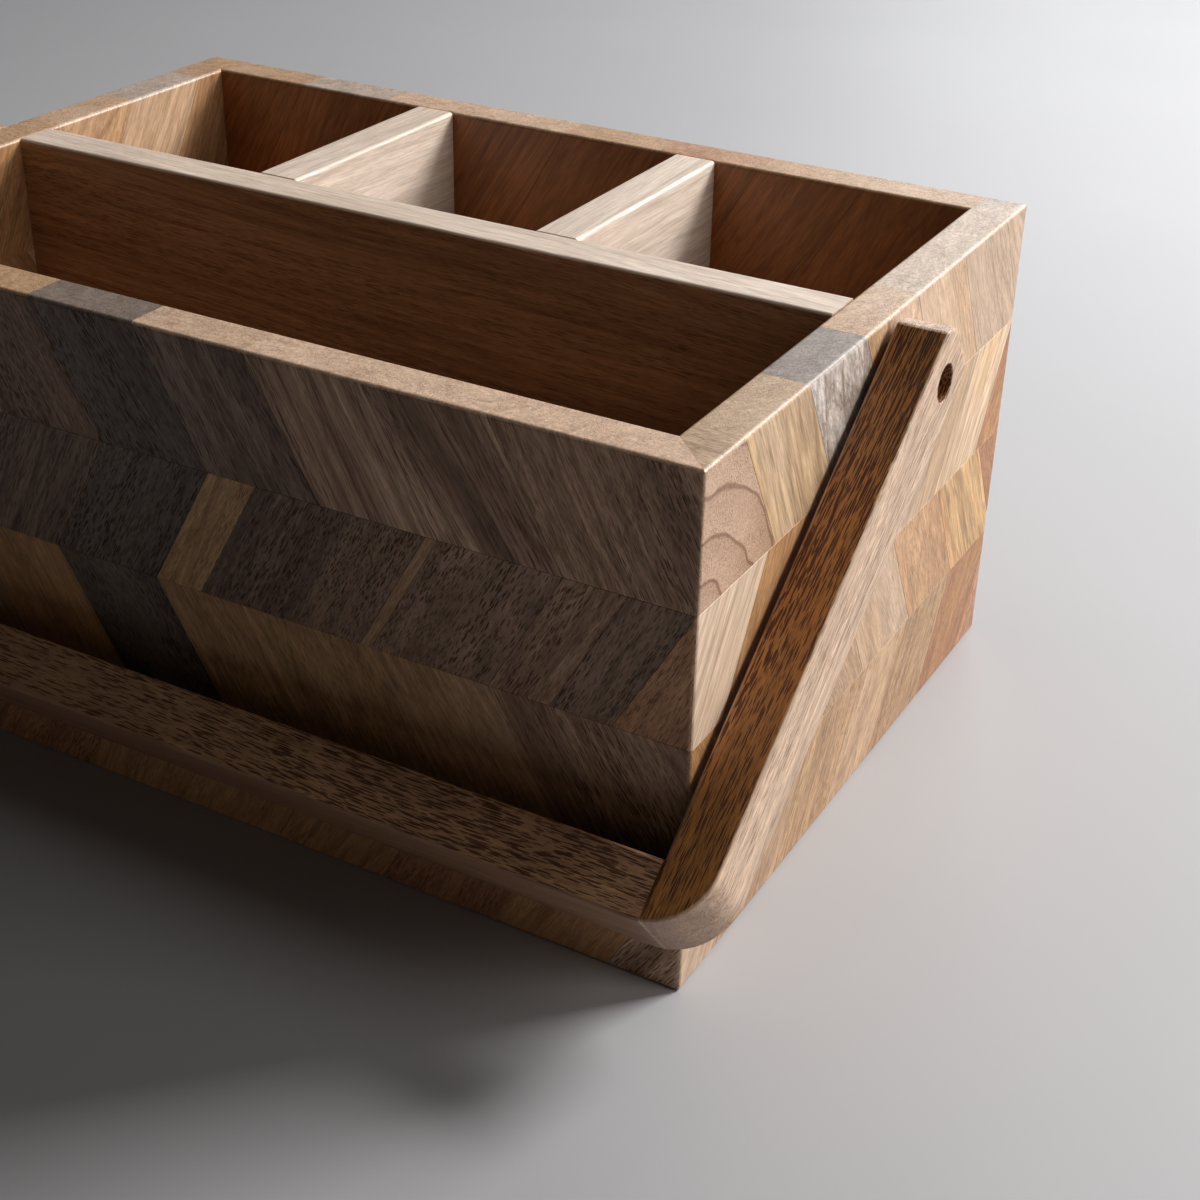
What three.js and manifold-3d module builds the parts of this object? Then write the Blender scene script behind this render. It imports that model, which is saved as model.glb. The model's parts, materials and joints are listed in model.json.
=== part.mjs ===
// Wooden caddy: an open box of chevron-jointed courses with dividers and a swinging bail handle.
// Millimetres, +Z up, the front faces -Y. The origin is the centre of the underside.

import * as THREE from "three";
import { mergeVertices } from "three/addons/utils/BufferGeometryUtils.js";
import Module from "manifold-3d";

// Box
const BOX_LENGTH = 300;
const BOX_DEPTH = 208;
const BOX_HEIGHT = 143;
const WALL_THICKNESS = 13.5;
const COURSE_COUNT = 4;
const EDGE_RADIUS = 1.2;

// Base panel in its rebate, and the screws that hold it
const BASE_THICKNESS = 9;
const REBATE_DEPTH = 8;
const BASE_CLEARANCE = 0.3;
const SCREWS_PER_LONG_WALL = 3;
const SCREWS_PER_END_WALL = 1;
const BASE_SCREW_DIAMETER = 3;
const BASE_SCREW_HEAD_DIAMETER = 6;
const BASE_SCREW_HEAD_RECESS = 0.3;
const BASE_SCREW_GRIP = 13;
const CROSS_SLOT_WIDTH = 0.9;
const CROSS_SLOT_SPAN = 3.4;
const CROSS_SLOT_DEPTH = 1.2;
const SCREW_CLEARANCE = 0.3;

// Loose splines in the mitres
const SPLINE_THICKNESS = 3;
const SPLINE_WIDTH = 9;
const SPLINE_INWARD_SHIFT = 1.5;
const SPLINE_BELOW_RIM = 12;
const SPLINE_ABOVE_BASE = 4;
const SPLINE_CLEARANCE = 0.2;

// Dividers
const DIVIDER_THICKNESS = 14;
const CROSS_DIVIDER_COUNT = 2;

// Dowels
const DOWEL_DIAMETER = 6;
const DOWEL_CHAMFER = 0.6;
const DOWEL_CLEARANCE = 0.2;
const DOWEL_END_CLEARANCE = 0.5;
const DOWEL_SKIN = 5.5;
const DOWEL_IN_DIVIDER = 12;
const DOWEL_IN_CROSSBAR = 14;
const DOWEL_COURSES = [2, 3];

// Bail handle
const PIVOT_BELOW_RIM = 14.7;
const ARM_THICKNESS = 14;
const ARM_DEPTH = 23.7;
const ARM_GAP = 1.7;
const ARM_PAST_PIVOT = 12;
const ARM_CLIP = 4.3;
const REACH_PAST_WALL = 37;
const CROSSBAR_THICKNESS = 15.7;
const CORNER_RADIUS = 17;
const REST_GAP = 0.3;

// Pivot hardware
const RECESS_DIAMETER = 10;
const RECESS_FLOOR = 5.5;
const PIVOT_SCREW_DIAMETER = 5;
const PIVOT_HEAD_DIAMETER = 8.5;
const PIVOT_HEAD_HEIGHT = 2.8;
const SOCKET_ACROSS_FLATS = 3;
const SOCKET_DEPTH = 1.8;
const HEAD_WASHER_DIAMETER = 9.3;
const HEAD_WASHER_THICKNESS = 1;
const SPACER_DIAMETER = 15;
const INSERT_DIAMETER = 8;
const INSERT_SKIN = 1.5;
const INSERT_RECESS = 0.3;
const TIP_CLEARANCE = 1;
const PIVOT_CLEARANCE = 0.25;
const RUNNING_GAP = 0.1;

// Facets of round faces, and how far a cutting shape reaches past what it cuts
const ROUND_FACETS = 24;
const DOWEL_FACETS = 12;
const ARC_STEPS = 8;
const EDGE_STEPS = 3;
const OVERCUT = 5;

// Sizes that follow from those above
const COURSE_HEIGHT = BOX_HEIGHT / COURSE_COUNT;
const INNER_LENGTH = BOX_LENGTH - 2 * WALL_THICKNESS;
const INNER_DEPTH = BOX_DEPTH - 2 * WALL_THICKNESS;
const DIVIDER_HEIGHT = BOX_HEIGHT - BASE_THICKNESS;
const REAR_ROW_DEPTH = (INNER_DEPTH - DIVIDER_THICKNESS) / 2;
const REAR_CELL_LENGTH =
  (INNER_LENGTH - CROSS_DIVIDER_COUNT * DIVIDER_THICKNESS) / (CROSS_DIVIDER_COUNT + 1);
const DOWEL_IN_WALL = WALL_THICKNESS - DOWEL_SKIN;
const DOWEL_IN_LONG_DIVIDER = DIVIDER_THICKNESS - DOWEL_SKIN;
const DOWEL_IN_ARM = ARM_THICKNESS - DOWEL_SKIN;
const SPLINE_BOTTOM = BASE_THICKNESS + SPLINE_ABOVE_BASE;
const SPLINE_HEIGHT = BOX_HEIGHT - SPLINE_BELOW_RIM - SPLINE_BOTTOM;
const PIVOT_Z = BOX_HEIGHT - PIVOT_BELOW_RIM;
const CROSSBAR_REACH = BOX_DEPTH / 2 + REACH_PAST_WALL;
const HANDLE_REACH = CROSSBAR_REACH + CROSSBAR_THICKNESS;
const ARM_INNER_X = BOX_LENGTH / 2 + ARM_GAP;
const ARM_OUTER_X = ARM_INNER_X + ARM_THICKNESS;
const INSERT_LENGTH = WALL_THICKNESS - INSERT_SKIN;

// The handle rests where the crossbar's lower inner edge meets the front wall.
const CROSSBAR_EDGE_RADIUS = Math.hypot(CROSSBAR_REACH, ARM_DEPTH / 2);
const CROSSBAR_EDGE_ANGLE = Math.atan2(ARM_DEPTH / 2, CROSSBAR_REACH);
const REST_ANGLE =
  Math.acos((BOX_DEPTH / 2 + REST_GAP) / CROSSBAR_EDGE_RADIUS) - CROSSBAR_EDGE_ANGLE;

const COLOURS = {
  tan: 0xa9805a,
  brown: 0x7a5638,
  umber: 0x5c4130,
  golden: 0x8d6238,
  ply: 0x9a7a56,
  beech: 0xc79f6b,
  steel: 0x8b8d90,
  brass: 0xb08d4a,
};

const wood = (colour) =>
  new THREE.MeshStandardMaterial({ color: colour, roughness: 0.5, metalness: 0 });
const metal = (colour) =>
  new THREE.MeshStandardMaterial({ color: colour, roughness: 0.35, metalness: 1 });

const wasm = await Module();
wasm.setup();

// Booleans on closed three.js geometry

function toSolid(geometry) {
  const bare = geometry.clone();
  bare.deleteAttribute("normal");
  bare.deleteAttribute("uv");
  const merged = mergeVertices(bare);
  const mesh = new wasm.Mesh({
    numProp: 3,
    vertProperties: merged.attributes.position.array,
    triVerts: new Uint32Array(merged.index.array),
  });
  return new wasm.Manifold(mesh);
}

function toGeometry(solid) {
  const mesh = solid.getMesh();
  const geometry = new THREE.BufferGeometry();
  geometry.setAttribute("position", new THREE.BufferAttribute(mesh.vertProperties, 3));
  geometry.setIndex(new THREE.BufferAttribute(mesh.triVerts, 1));
  geometry.computeVertexNormals();
  return geometry;
}

function cut(geometry, tools) {
  const solid = tools.reduce((left, tool) => left.subtract(toSolid(tool)), toSolid(geometry));
  return toGeometry(solid);
}

function common(first, second) {
  return toGeometry(toSolid(first).intersect(toSolid(second)));
}

// Basic shapes

function polygon(points) {
  return new THREE.Shape(points.map(([x, y]) => new THREE.Vector2(x, y)));
}

function extrude(shape, depth, curveSegments = EDGE_STEPS) {
  return new THREE.ExtrudeGeometry(shape, { depth, curveSegments, bevelEnabled: false });
}

// A cylinder between two points on a line along X, Y or Z.
function cylinder(diameter, from, to, facets = ROUND_FACETS) {
  const start = new THREE.Vector3(...from);
  const span = new THREE.Vector3(...to).sub(start);
  const geometry = new THREE.CylinderGeometry(diameter / 2, diameter / 2, span.length(), facets);
  const turn = new THREE.Quaternion().setFromUnitVectors(
    new THREE.Vector3(0, 1, 0),
    span.clone().normalize(),
  );
  geometry.applyQuaternion(turn);
  const middle = start.addScaledVector(span, 0.5);
  return geometry.translate(middle.x, middle.y, middle.z);
}

function box(width, depth, height) {
  return new THREE.BoxGeometry(width, depth, height);
}

// A turned piece whose axis is X: points are [distance along X, radius], from end to end.
function turned(points, facets = ROUND_FACETS) {
  const profile = points.map(([along, radius]) => new THREE.Vector2(radius, along));
  return new THREE.LatheGeometry(profile, facets).rotateZ(-Math.PI / 2);
}

function washer(diameter, bore, thickness) {
  return turned([
    [0, bore / 2],
    [0, diameter / 2],
    [thickness, diameter / 2],
    [thickness, bore / 2],
    [0, bore / 2],
  ]);
}

function piece(name, geometry, material) {
  const mesh = new THREE.Mesh(geometry, material);
  mesh.name = name;
  return mesh;
}

const courseMiddle = (course) => BOX_HEIGHT - (course - 0.5) * COURSE_HEIGHT;

// Centres of equal parts along a length, about zero.
function evenly(count, length) {
  const step = length / count;
  return Array.from({ length: count }, (_, i) => (i - (count - 1) / 2) * step);
}

const CROSS_DIVIDER_X = evenly(
  CROSS_DIVIDER_COUNT,
  CROSS_DIVIDER_COUNT * (REAR_CELL_LENGTH + DIVIDER_THICKNESS),
);

// Walls. In a wall's own frame x runs along it, y inward from its outer face, z up.

const WALLS = [
  { name: "front", length: BOX_LENGTH, offset: BOX_DEPTH / 2, turn: 0 },
  { name: "right", length: BOX_DEPTH, offset: BOX_LENGTH / 2, turn: Math.PI / 2 },
  { name: "back", length: BOX_LENGTH, offset: BOX_DEPTH / 2, turn: Math.PI },
  { name: "left", length: BOX_DEPTH, offset: BOX_LENGTH / 2, turn: -Math.PI / 2 },
];
const LONG_WALLS = ["front", "back"];
const END_WALLS = ["right", "left"];

// Section of a course: x inward from the outer face, y up. The rim and foot edges are eased.
function courseSection(course) {
  const top = BOX_HEIGHT - (course - 1) * COURSE_HEIGHT;
  const bottom = top - COURSE_HEIGHT;
  const r = EDGE_RADIUS;
  const section = new THREE.Shape();
  if (course === COURSE_COUNT) {
    section.moveTo(0, r);
    section.absarc(r, r, r, Math.PI, 1.5 * Math.PI);
    section.lineTo(WALL_THICKNESS - REBATE_DEPTH, bottom);
    section.lineTo(WALL_THICKNESS - REBATE_DEPTH, BASE_THICKNESS);
    section.lineTo(WALL_THICKNESS, BASE_THICKNESS);
  } else {
    section.moveTo(0, bottom);
    section.lineTo(WALL_THICKNESS, bottom);
  }
  if (course === 1) {
    section.lineTo(WALL_THICKNESS, top - r);
    section.absarc(WALL_THICKNESS - r, top - r, r, 0, Math.PI / 2);
    section.absarc(r, top - r, r, Math.PI / 2, Math.PI);
  } else {
    section.lineTo(WALL_THICKNESS, top);
    section.lineTo(0, top);
  }
  section.closePath();
  return section;
}

// The plan that mitres a wall's two ends, reaching past its faces.
function mitrePlan(length) {
  const outer = length / 2 + OVERCUT;
  const inner = length / 2 - WALL_THICKNESS - OVERCUT;
  const plan = polygon([
    [-outer, -OVERCUT],
    [outer, -OVERCUT],
    [inner, WALL_THICKNESS + OVERCUT],
    [-inner, WALL_THICKNESS + OVERCUT],
  ]);
  return extrude(plan, BOX_HEIGHT + 2 * OVERCUT).translate(0, 0, -OVERCUT);
}

const SPLINE_FROM_FACE = WALL_THICKNESS / 2 + SPLINE_INWARD_SHIFT / Math.SQRT2;

// A spline, or with a clearance its slot, standing upright about its own centre line.
function splineBlock(clearance) {
  const width = SPLINE_WIDTH + 2 * clearance;
  const thickness = SPLINE_THICKNESS + 2 * clearance;
  const height = SPLINE_HEIGHT + 2 * clearance;
  return box(width, thickness, height).translate(0, 0, SPLINE_BOTTOM + SPLINE_HEIGHT / 2);
}

function splineSlots(length) {
  return [1, -1].map((end) =>
    splineBlock(SPLINE_CLEARANCE)
      .rotateZ((end * Math.PI) / 4)
      .translate(end * (length / 2 - SPLINE_FROM_FACE), SPLINE_FROM_FACE, 0),
  );
}

const dowelHoleDiameter = DOWEL_DIAMETER + 2 * DOWEL_CLEARANCE;

// Blind dowel holes in a wall's inner face, at places along the wall.
function wallDowelHoles(course, places) {
  const z = courseMiddle(course);
  const bottomOfHole = WALL_THICKNESS - DOWEL_IN_WALL - DOWEL_END_CLEARANCE;
  return places.map((x) =>
    cylinder(
      dowelHoleDiameter,
      [x, bottomOfHole, z],
      [x, WALL_THICKNESS + OVERCUT, z],
      DOWEL_FACETS,
    ),
  );
}

const baseScrewPlaces = {
  long: evenly(SCREWS_PER_LONG_WALL, INNER_LENGTH),
  end: evenly(SCREWS_PER_END_WALL, INNER_DEPTH),
};
const BASE_SCREW_FROM_FACE = WALL_THICKNESS - REBATE_DEPTH / 2;
const BASE_SCREW_TIP = BASE_THICKNESS + BASE_SCREW_GRIP;

function pilotHoles(places) {
  const diameter = BASE_SCREW_DIAMETER + 2 * SCREW_CLEARANCE;
  const top = BASE_SCREW_TIP + SCREW_CLEARANCE;
  return places.map((x) =>
    cylinder(diameter, [x, BASE_SCREW_FROM_FACE, -OVERCUT], [x, BASE_SCREW_FROM_FACE, top], DOWEL_FACETS),
  );
}

function insertHole() {
  const diameter = INSERT_DIAMETER + 2 * PIVOT_CLEARANCE;
  const end = INSERT_RECESS + INSERT_LENGTH + RUNNING_GAP;
  return cylinder(diameter, [0, -OVERCUT, PIVOT_Z], [0, end, PIVOT_Z]);
}

function wallCuts(wall, course) {
  const cuts = splineSlots(wall.length);
  const isEnd = END_WALLS.includes(wall.name);
  if (DOWEL_COURSES.includes(course)) {
    if (isEnd) cuts.push(...wallDowelHoles(course, [0]));
    if (wall.name === "back") cuts.push(...wallDowelHoles(course, CROSS_DIVIDER_X));
  }
  if (course === COURSE_COUNT) {
    cuts.push(...pilotHoles(isEnd ? baseScrewPlaces.end : baseScrewPlaces.long));
  }
  if (isEnd && course === 1) cuts.push(insertHole());
  return cuts;
}

// Turns a section (x inward, y up) extruded along its own z into a run along the wall's x.
const ALONG_WALL = new THREE.Matrix4().makeBasis(
  new THREE.Vector3(0, 1, 0),
  new THREE.Vector3(0, 0, 1),
  new THREE.Vector3(1, 0, 0),
);

function wallCourse(wall, course) {
  const run = wall.length + 2 * OVERCUT;
  const band = extrude(courseSection(course), run);
  band.translate(0, 0, -run / 2).applyMatrix4(ALONG_WALL);
  const mitred = common(band, mitrePlan(wall.length));
  return cut(mitred, wallCuts(wall, course));
}

function makeWalls() {
  const group = new THREE.Group();
  const tones = [COLOURS.brown, COLOURS.umber, COLOURS.tan, COLOURS.golden];
  for (const wall of WALLS) {
    const side = new THREE.Group();
    side.rotation.z = wall.turn;
    side.position.set(0, -wall.offset, 0).applyAxisAngle(new THREE.Vector3(0, 0, 1), wall.turn);
    for (let course = 1; course <= COURSE_COUNT; course += 1) {
      const name = `${wall.name}_wall_course_${course}`;
      const tone = tones[(course - 1) % tones.length];
      side.add(piece(name, wallCourse(wall, course), wood(tone)));
    }
    group.add(side);
  }
  return group;
}

function makeSplines() {
  const group = new THREE.Group();
  const x = BOX_LENGTH / 2 - SPLINE_FROM_FACE;
  const y = BOX_DEPTH / 2 - SPLINE_FROM_FACE;
  for (const [rowName, ySign] of [["front", -1], ["back", 1]]) {
    for (const [sideName, xSign] of [["left", -1], ["right", 1]]) {
      const spline = piece(`mitre_spline_${rowName}_${sideName}`, splineBlock(0), wood(COLOURS.beech));
      spline.position.set(xSign * x, ySign * y, 0);
      spline.rotation.z = (-xSign * ySign * Math.PI) / 4;
      group.add(spline);
    }
  }
  return group;
}

// Base panel and its screws

const baseScrewSpots = WALLS.flatMap((wall) => {
  const places = LONG_WALLS.includes(wall.name) ? baseScrewPlaces.long : baseScrewPlaces.end;
  return places.map((x) =>
    new THREE.Vector3(x, BASE_SCREW_FROM_FACE - wall.offset, 0).applyAxisAngle(
      new THREE.Vector3(0, 0, 1),
      wall.turn,
    ),
  );
});

// Outline of a countersunk screw that points along +X from its flat head, made larger by a clearance.
function baseScrewOutline(clearance) {
  const head = BASE_SCREW_HEAD_DIAMETER / 2 + clearance;
  const shank = BASE_SCREW_DIAMETER / 2 + clearance;
  const cone = (BASE_SCREW_HEAD_DIAMETER - BASE_SCREW_DIAMETER) / 2;
  const length = BASE_SCREW_TIP - BASE_SCREW_HEAD_RECESS;
  return { head, shank, cone, length };
}

function baseScrew() {
  const { head, shank, cone, length } = baseScrewOutline(0);
  const body = turned(
    [
      [0, 0],
      [0, head],
      [cone, shank],
      [length - BASE_SCREW_DIAMETER, shank],
      [length, 0],
    ],
    DOWEL_FACETS,
  );
  const slots = [0, Math.PI / 2].map((turn) =>
    box(2 * CROSS_SLOT_DEPTH, CROSS_SLOT_SPAN, CROSS_SLOT_WIDTH).rotateX(turn),
  );
  return cut(body, slots);
}

// The hole for one screw through the base panel, from below the underside to above the top.
function baseScrewHole() {
  const { head, shank, cone } = baseScrewOutline(SCREW_CLEARANCE);
  return turned(
    [
      [-OVERCUT, 0],
      [-OVERCUT, head],
      [0, head],
      [cone, shank],
      [BASE_THICKNESS + OVERCUT, shank],
      [BASE_THICKNESS + OVERCUT, 0],
    ],
    DOWEL_FACETS,
  );
}

function makeBase() {
  const group = new THREE.Group();
  const upright = (geometry) => geometry.rotateY(-Math.PI / 2).translate(0, 0, BASE_SCREW_HEAD_RECESS);
  const side = 2 * (REBATE_DEPTH - BASE_CLEARANCE);
  const panel = box(INNER_LENGTH + side, INNER_DEPTH + side, BASE_THICKNESS);
  panel.translate(0, 0, BASE_THICKNESS / 2);
  const holes = baseScrewSpots.map((spot) => upright(baseScrewHole()).translate(spot.x, spot.y, 0));
  group.add(piece("base_panel", cut(panel, holes), wood(COLOURS.ply)));
  baseScrewSpots.forEach((spot, i) => {
    const screw = piece(`base_screw_${i + 1}`, upright(baseScrew()), metal(COLOURS.steel));
    screw.position.copy(spot);
    group.add(screw);
  });
  return group;
}

// Dividers and dowels

// A dowel along X from its first end at x = 0.
function dowel(length) {
  const r = DOWEL_DIAMETER / 2;
  return turned(
    [
      [0, 0],
      [0, r - DOWEL_CHAMFER],
      [DOWEL_CHAMFER, r],
      [length - DOWEL_CHAMFER, r],
      [length, r - DOWEL_CHAMFER],
      [length, 0],
    ],
    DOWEL_FACETS,
  );
}

// Section of a divider: x across its thickness, y up from its foot, with eased top edges.
function dividerSection() {
  const half = DIVIDER_THICKNESS / 2;
  const r = EDGE_RADIUS;
  const section = new THREE.Shape();
  section.moveTo(-half, 0);
  section.lineTo(half, 0);
  section.lineTo(half, DIVIDER_HEIGHT - r);
  section.absarc(half - r, DIVIDER_HEIGHT - r, r, 0, Math.PI / 2);
  section.absarc(-half + r, DIVIDER_HEIGHT - r, r, Math.PI / 2, Math.PI);
  section.closePath();
  return section;
}

// A divider that runs along X, centred, standing on the base panel.
function dividerBoard(length) {
  const board = extrude(dividerSection(), length).translate(0, 0, -length / 2);
  return board.applyMatrix4(ALONG_WALL).translate(0, 0, BASE_THICKNESS);
}

// Blind dowel holes in both ends of a board that runs along X.
function endDowelHoles(length) {
  const depth = DOWEL_IN_DIVIDER + DOWEL_END_CLEARANCE;
  return DOWEL_COURSES.flatMap((course) =>
    [1, -1].map((end) => {
      const z = courseMiddle(course);
      const inner = [end * (length / 2 - depth), 0, z];
      const outer = [end * (length / 2 + OVERCUT), 0, z];
      return cylinder(dowelHoleDiameter, inner, outer, DOWEL_FACETS);
    }),
  );
}

// Blind holes in the long divider's rear face for the cross dividers' dowels.
function rearFaceDowelHoles() {
  const face = DIVIDER_THICKNESS / 2;
  const bottomOfHole = face - DOWEL_IN_LONG_DIVIDER - DOWEL_END_CLEARANCE;
  return DOWEL_COURSES.flatMap((course) =>
    CROSS_DIVIDER_X.map((x) => {
      const z = courseMiddle(course);
      return cylinder(dowelHoleDiameter, [x, bottomOfHole, z], [x, face + OVERCUT, z], DOWEL_FACETS);
    }),
  );
}

function makeLongDivider() {
  const group = new THREE.Group();
  const board = dividerBoard(INNER_LENGTH);
  const holes = [...endDowelHoles(INNER_LENGTH), ...rearFaceDowelHoles()];
  group.add(piece("long_divider", cut(board, holes), wood(COLOURS.brown)));
  for (const [sideName, sign] of [["left", -1], ["right", 1]]) {
    DOWEL_COURSES.forEach((course, i) => {
      const pin = dowel(DOWEL_IN_DIVIDER + DOWEL_IN_WALL);
      const mesh = piece(`long_divider_dowel_${sideName}_${i + 1}`, pin, wood(COLOURS.beech));
      mesh.position.set(sign * (INNER_LENGTH / 2 - DOWEL_IN_DIVIDER), 0, courseMiddle(course));
      mesh.rotation.y = sign > 0 ? 0 : Math.PI;
      group.add(mesh);
    });
  }
  return group;
}

function makeCrossDividers() {
  const group = new THREE.Group();
  const names = CROSS_DIVIDER_X.map((x, i) => (CROSS_DIVIDER_COUNT === 2 ? ["left", "right"][i] : i + 1));
  const middleY = DIVIDER_THICKNESS / 2 + REAR_ROW_DEPTH / 2;
  CROSS_DIVIDER_X.forEach((x, i) => {
    const board = new THREE.Group();
    board.position.set(x, middleY, 0);
    board.rotation.z = Math.PI / 2;
    const blank = dividerBoard(REAR_ROW_DEPTH);
    const divider = cut(blank, endDowelHoles(REAR_ROW_DEPTH));
    board.add(piece(`cross_divider_${names[i]}`, divider, wood(COLOURS.tan)));
    const ends = [
      { name: "rear", sign: 1, beyond: DOWEL_IN_WALL },
      { name: "front", sign: -1, beyond: DOWEL_IN_LONG_DIVIDER },
    ];
    for (const end of ends) {
      DOWEL_COURSES.forEach((course, row) => {
        const pin = dowel(DOWEL_IN_DIVIDER + end.beyond);
        const name = `cross_divider_${names[i]}_dowel_${end.name}_${row + 1}`;
        const mesh = piece(name, pin, wood(COLOURS.beech));
        mesh.position.set(end.sign * (REAR_ROW_DEPTH / 2 - DOWEL_IN_DIVIDER), 0, courseMiddle(course));
        mesh.rotation.y = end.sign > 0 ? 0 : Math.PI;
        board.add(mesh);
      });
    }
    group.add(board);
  });
  return group;
}

// Handle. In its own frame it reaches forward along -Y from the pivot line, level, with Z across its depth.

// The outline that rounds the bail's outer corners, from above, as a tall blank.
function bailOutline() {
  const r = CORNER_RADIUS;
  const outline = new THREE.Shape();
  outline.moveTo(ARM_OUTER_X, ARM_PAST_PIVOT);
  outline.lineTo(-ARM_OUTER_X, ARM_PAST_PIVOT);
  outline.lineTo(-ARM_OUTER_X, -HANDLE_REACH + r);
  outline.absarc(-ARM_OUTER_X + r, -HANDLE_REACH + r, r, Math.PI, 1.5 * Math.PI);
  outline.absarc(ARM_OUTER_X - r, -HANDLE_REACH + r, r, 1.5 * Math.PI, 2 * Math.PI);
  outline.closePath();
  const height = ARM_DEPTH + 2 * OVERCUT;
  return extrude(outline, height, ARC_STEPS).translate(0, 0, -height / 2);
}

// Side view of an arm (x along its reach, y across its depth) with the upper end's corners clipped.
function armSide() {
  const half = ARM_DEPTH / 2;
  return polygon([
    [-ARM_PAST_PIVOT, -half + ARM_CLIP],
    [-ARM_PAST_PIVOT + ARM_CLIP, -half],
    [HANDLE_REACH, -half],
    [HANDLE_REACH, half],
    [-ARM_PAST_PIVOT + ARM_CLIP, half],
    [-ARM_PAST_PIVOT, half - ARM_CLIP],
  ]);
}

// Turns a side view extruded along its own z into an arm that reaches along -Y, thick along -X.
const ALONG_ARM = new THREE.Matrix4().makeBasis(
  new THREE.Vector3(0, -1, 0),
  new THREE.Vector3(0, 0, 1),
  new THREE.Vector3(-1, 0, 0),
);

const CROSSBAR_MIDDLE_Y = -(CROSSBAR_REACH + CROSSBAR_THICKNESS / 2);
const HANDLE_DOWEL_Z = evenly(2, ARM_DEPTH);

// Blind dowel holes across the joint between the crossbar and the arm on one side.
function cornerDowelHoles(sign) {
  const inBar = sign * (ARM_INNER_X - DOWEL_IN_CROSSBAR - DOWEL_END_CLEARANCE);
  const inArm = sign * (ARM_INNER_X + DOWEL_IN_ARM + DOWEL_END_CLEARANCE);
  return HANDLE_DOWEL_Z.map((z) =>
    cylinder(dowelHoleDiameter, [inBar, CROSSBAR_MIDDLE_Y, z], [inArm, CROSSBAR_MIDDLE_Y, z], DOWEL_FACETS),
  );
}

function handleArm(sign) {
  const blank = extrude(armSide(), ARM_THICKNESS).applyMatrix4(ALONG_ARM);
  blank.translate(sign > 0 ? ARM_OUTER_X : -ARM_INNER_X, 0, 0);
  const rounded = common(blank, bailOutline());
  const bore = PIVOT_SCREW_DIAMETER + 2 * PIVOT_CLEARANCE;
  const through = cylinder(bore, [sign * (ARM_INNER_X - OVERCUT), 0, 0], [sign * ARM_OUTER_X, 0, 0]);
  const floor = ARM_INNER_X + RECESS_FLOOR;
  const recess = cylinder(RECESS_DIAMETER, [sign * floor, 0, 0], [sign * (ARM_OUTER_X + OVERCUT), 0, 0]);
  return cut(rounded, [through, recess, ...cornerDowelHoles(sign)]);
}

function handleCrossbar() {
  const bar = box(2 * ARM_INNER_X, CROSSBAR_THICKNESS, ARM_DEPTH).translate(0, CROSSBAR_MIDDLE_Y, 0);
  const rounded = common(bar, bailOutline());
  return cut(rounded, [...cornerDowelHoles(1), ...cornerDowelHoles(-1)]);
}

function makeHandle() {
  const handle = new THREE.Group();
  handle.position.z = PIVOT_Z;
  handle.rotation.x = REST_ANGLE;
  handle.add(piece("handle_crossbar", handleCrossbar(), wood(COLOURS.golden)));
  for (const [sideName, sign] of [["left", -1], ["right", 1]]) {
    handle.add(piece(`handle_arm_${sideName}`, handleArm(sign), wood(COLOURS.golden)));
    HANDLE_DOWEL_Z.forEach((z, i) => {
      const pin = dowel(DOWEL_IN_CROSSBAR + DOWEL_IN_ARM);
      const mesh = piece(`handle_dowel_${sideName}_${i + 1}`, pin, wood(COLOURS.beech));
      mesh.position.set(sign * (ARM_INNER_X - DOWEL_IN_CROSSBAR), CROSSBAR_MIDDLE_Y, z);
      mesh.rotation.y = sign > 0 ? 0 : Math.PI;
      handle.add(mesh);
    });
  }
  return handle;
}

// Pivot hardware. In a side's own frame x runs outward from the end wall's outer face, on the pivot line.

const HEAD_WASHER_X = ARM_GAP + RECESS_FLOOR + RUNNING_GAP;
const HEAD_X = HEAD_WASHER_X + HEAD_WASHER_THICKNESS;
const SCREW_TIP_X = -(INSERT_RECESS + INSERT_LENGTH - TIP_CLEARANCE);
const WASHER_BORE = PIVOT_SCREW_DIAMETER + 2 * PIVOT_CLEARANCE;

function pivotScrew() {
  const shank = PIVOT_SCREW_DIAMETER / 2;
  const head = PIVOT_HEAD_DIAMETER / 2;
  const top = HEAD_X + PIVOT_HEAD_HEIGHT;
  const body = turned([
    [SCREW_TIP_X, 0],
    [SCREW_TIP_X, shank - DOWEL_CHAMFER],
    [SCREW_TIP_X + DOWEL_CHAMFER, shank],
    [HEAD_X, shank],
    [HEAD_X, head],
    [top - DOWEL_CHAMFER, head],
    [top, head - DOWEL_CHAMFER],
    [top, 0],
  ]);
  const socketDiameter = SOCKET_ACROSS_FLATS / Math.cos(Math.PI / 6);
  const socket = cylinder(socketDiameter, [top - SOCKET_DEPTH, 0, 0], [top + OVERCUT, 0, 0], 6);
  return cut(body, [socket]);
}

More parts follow.
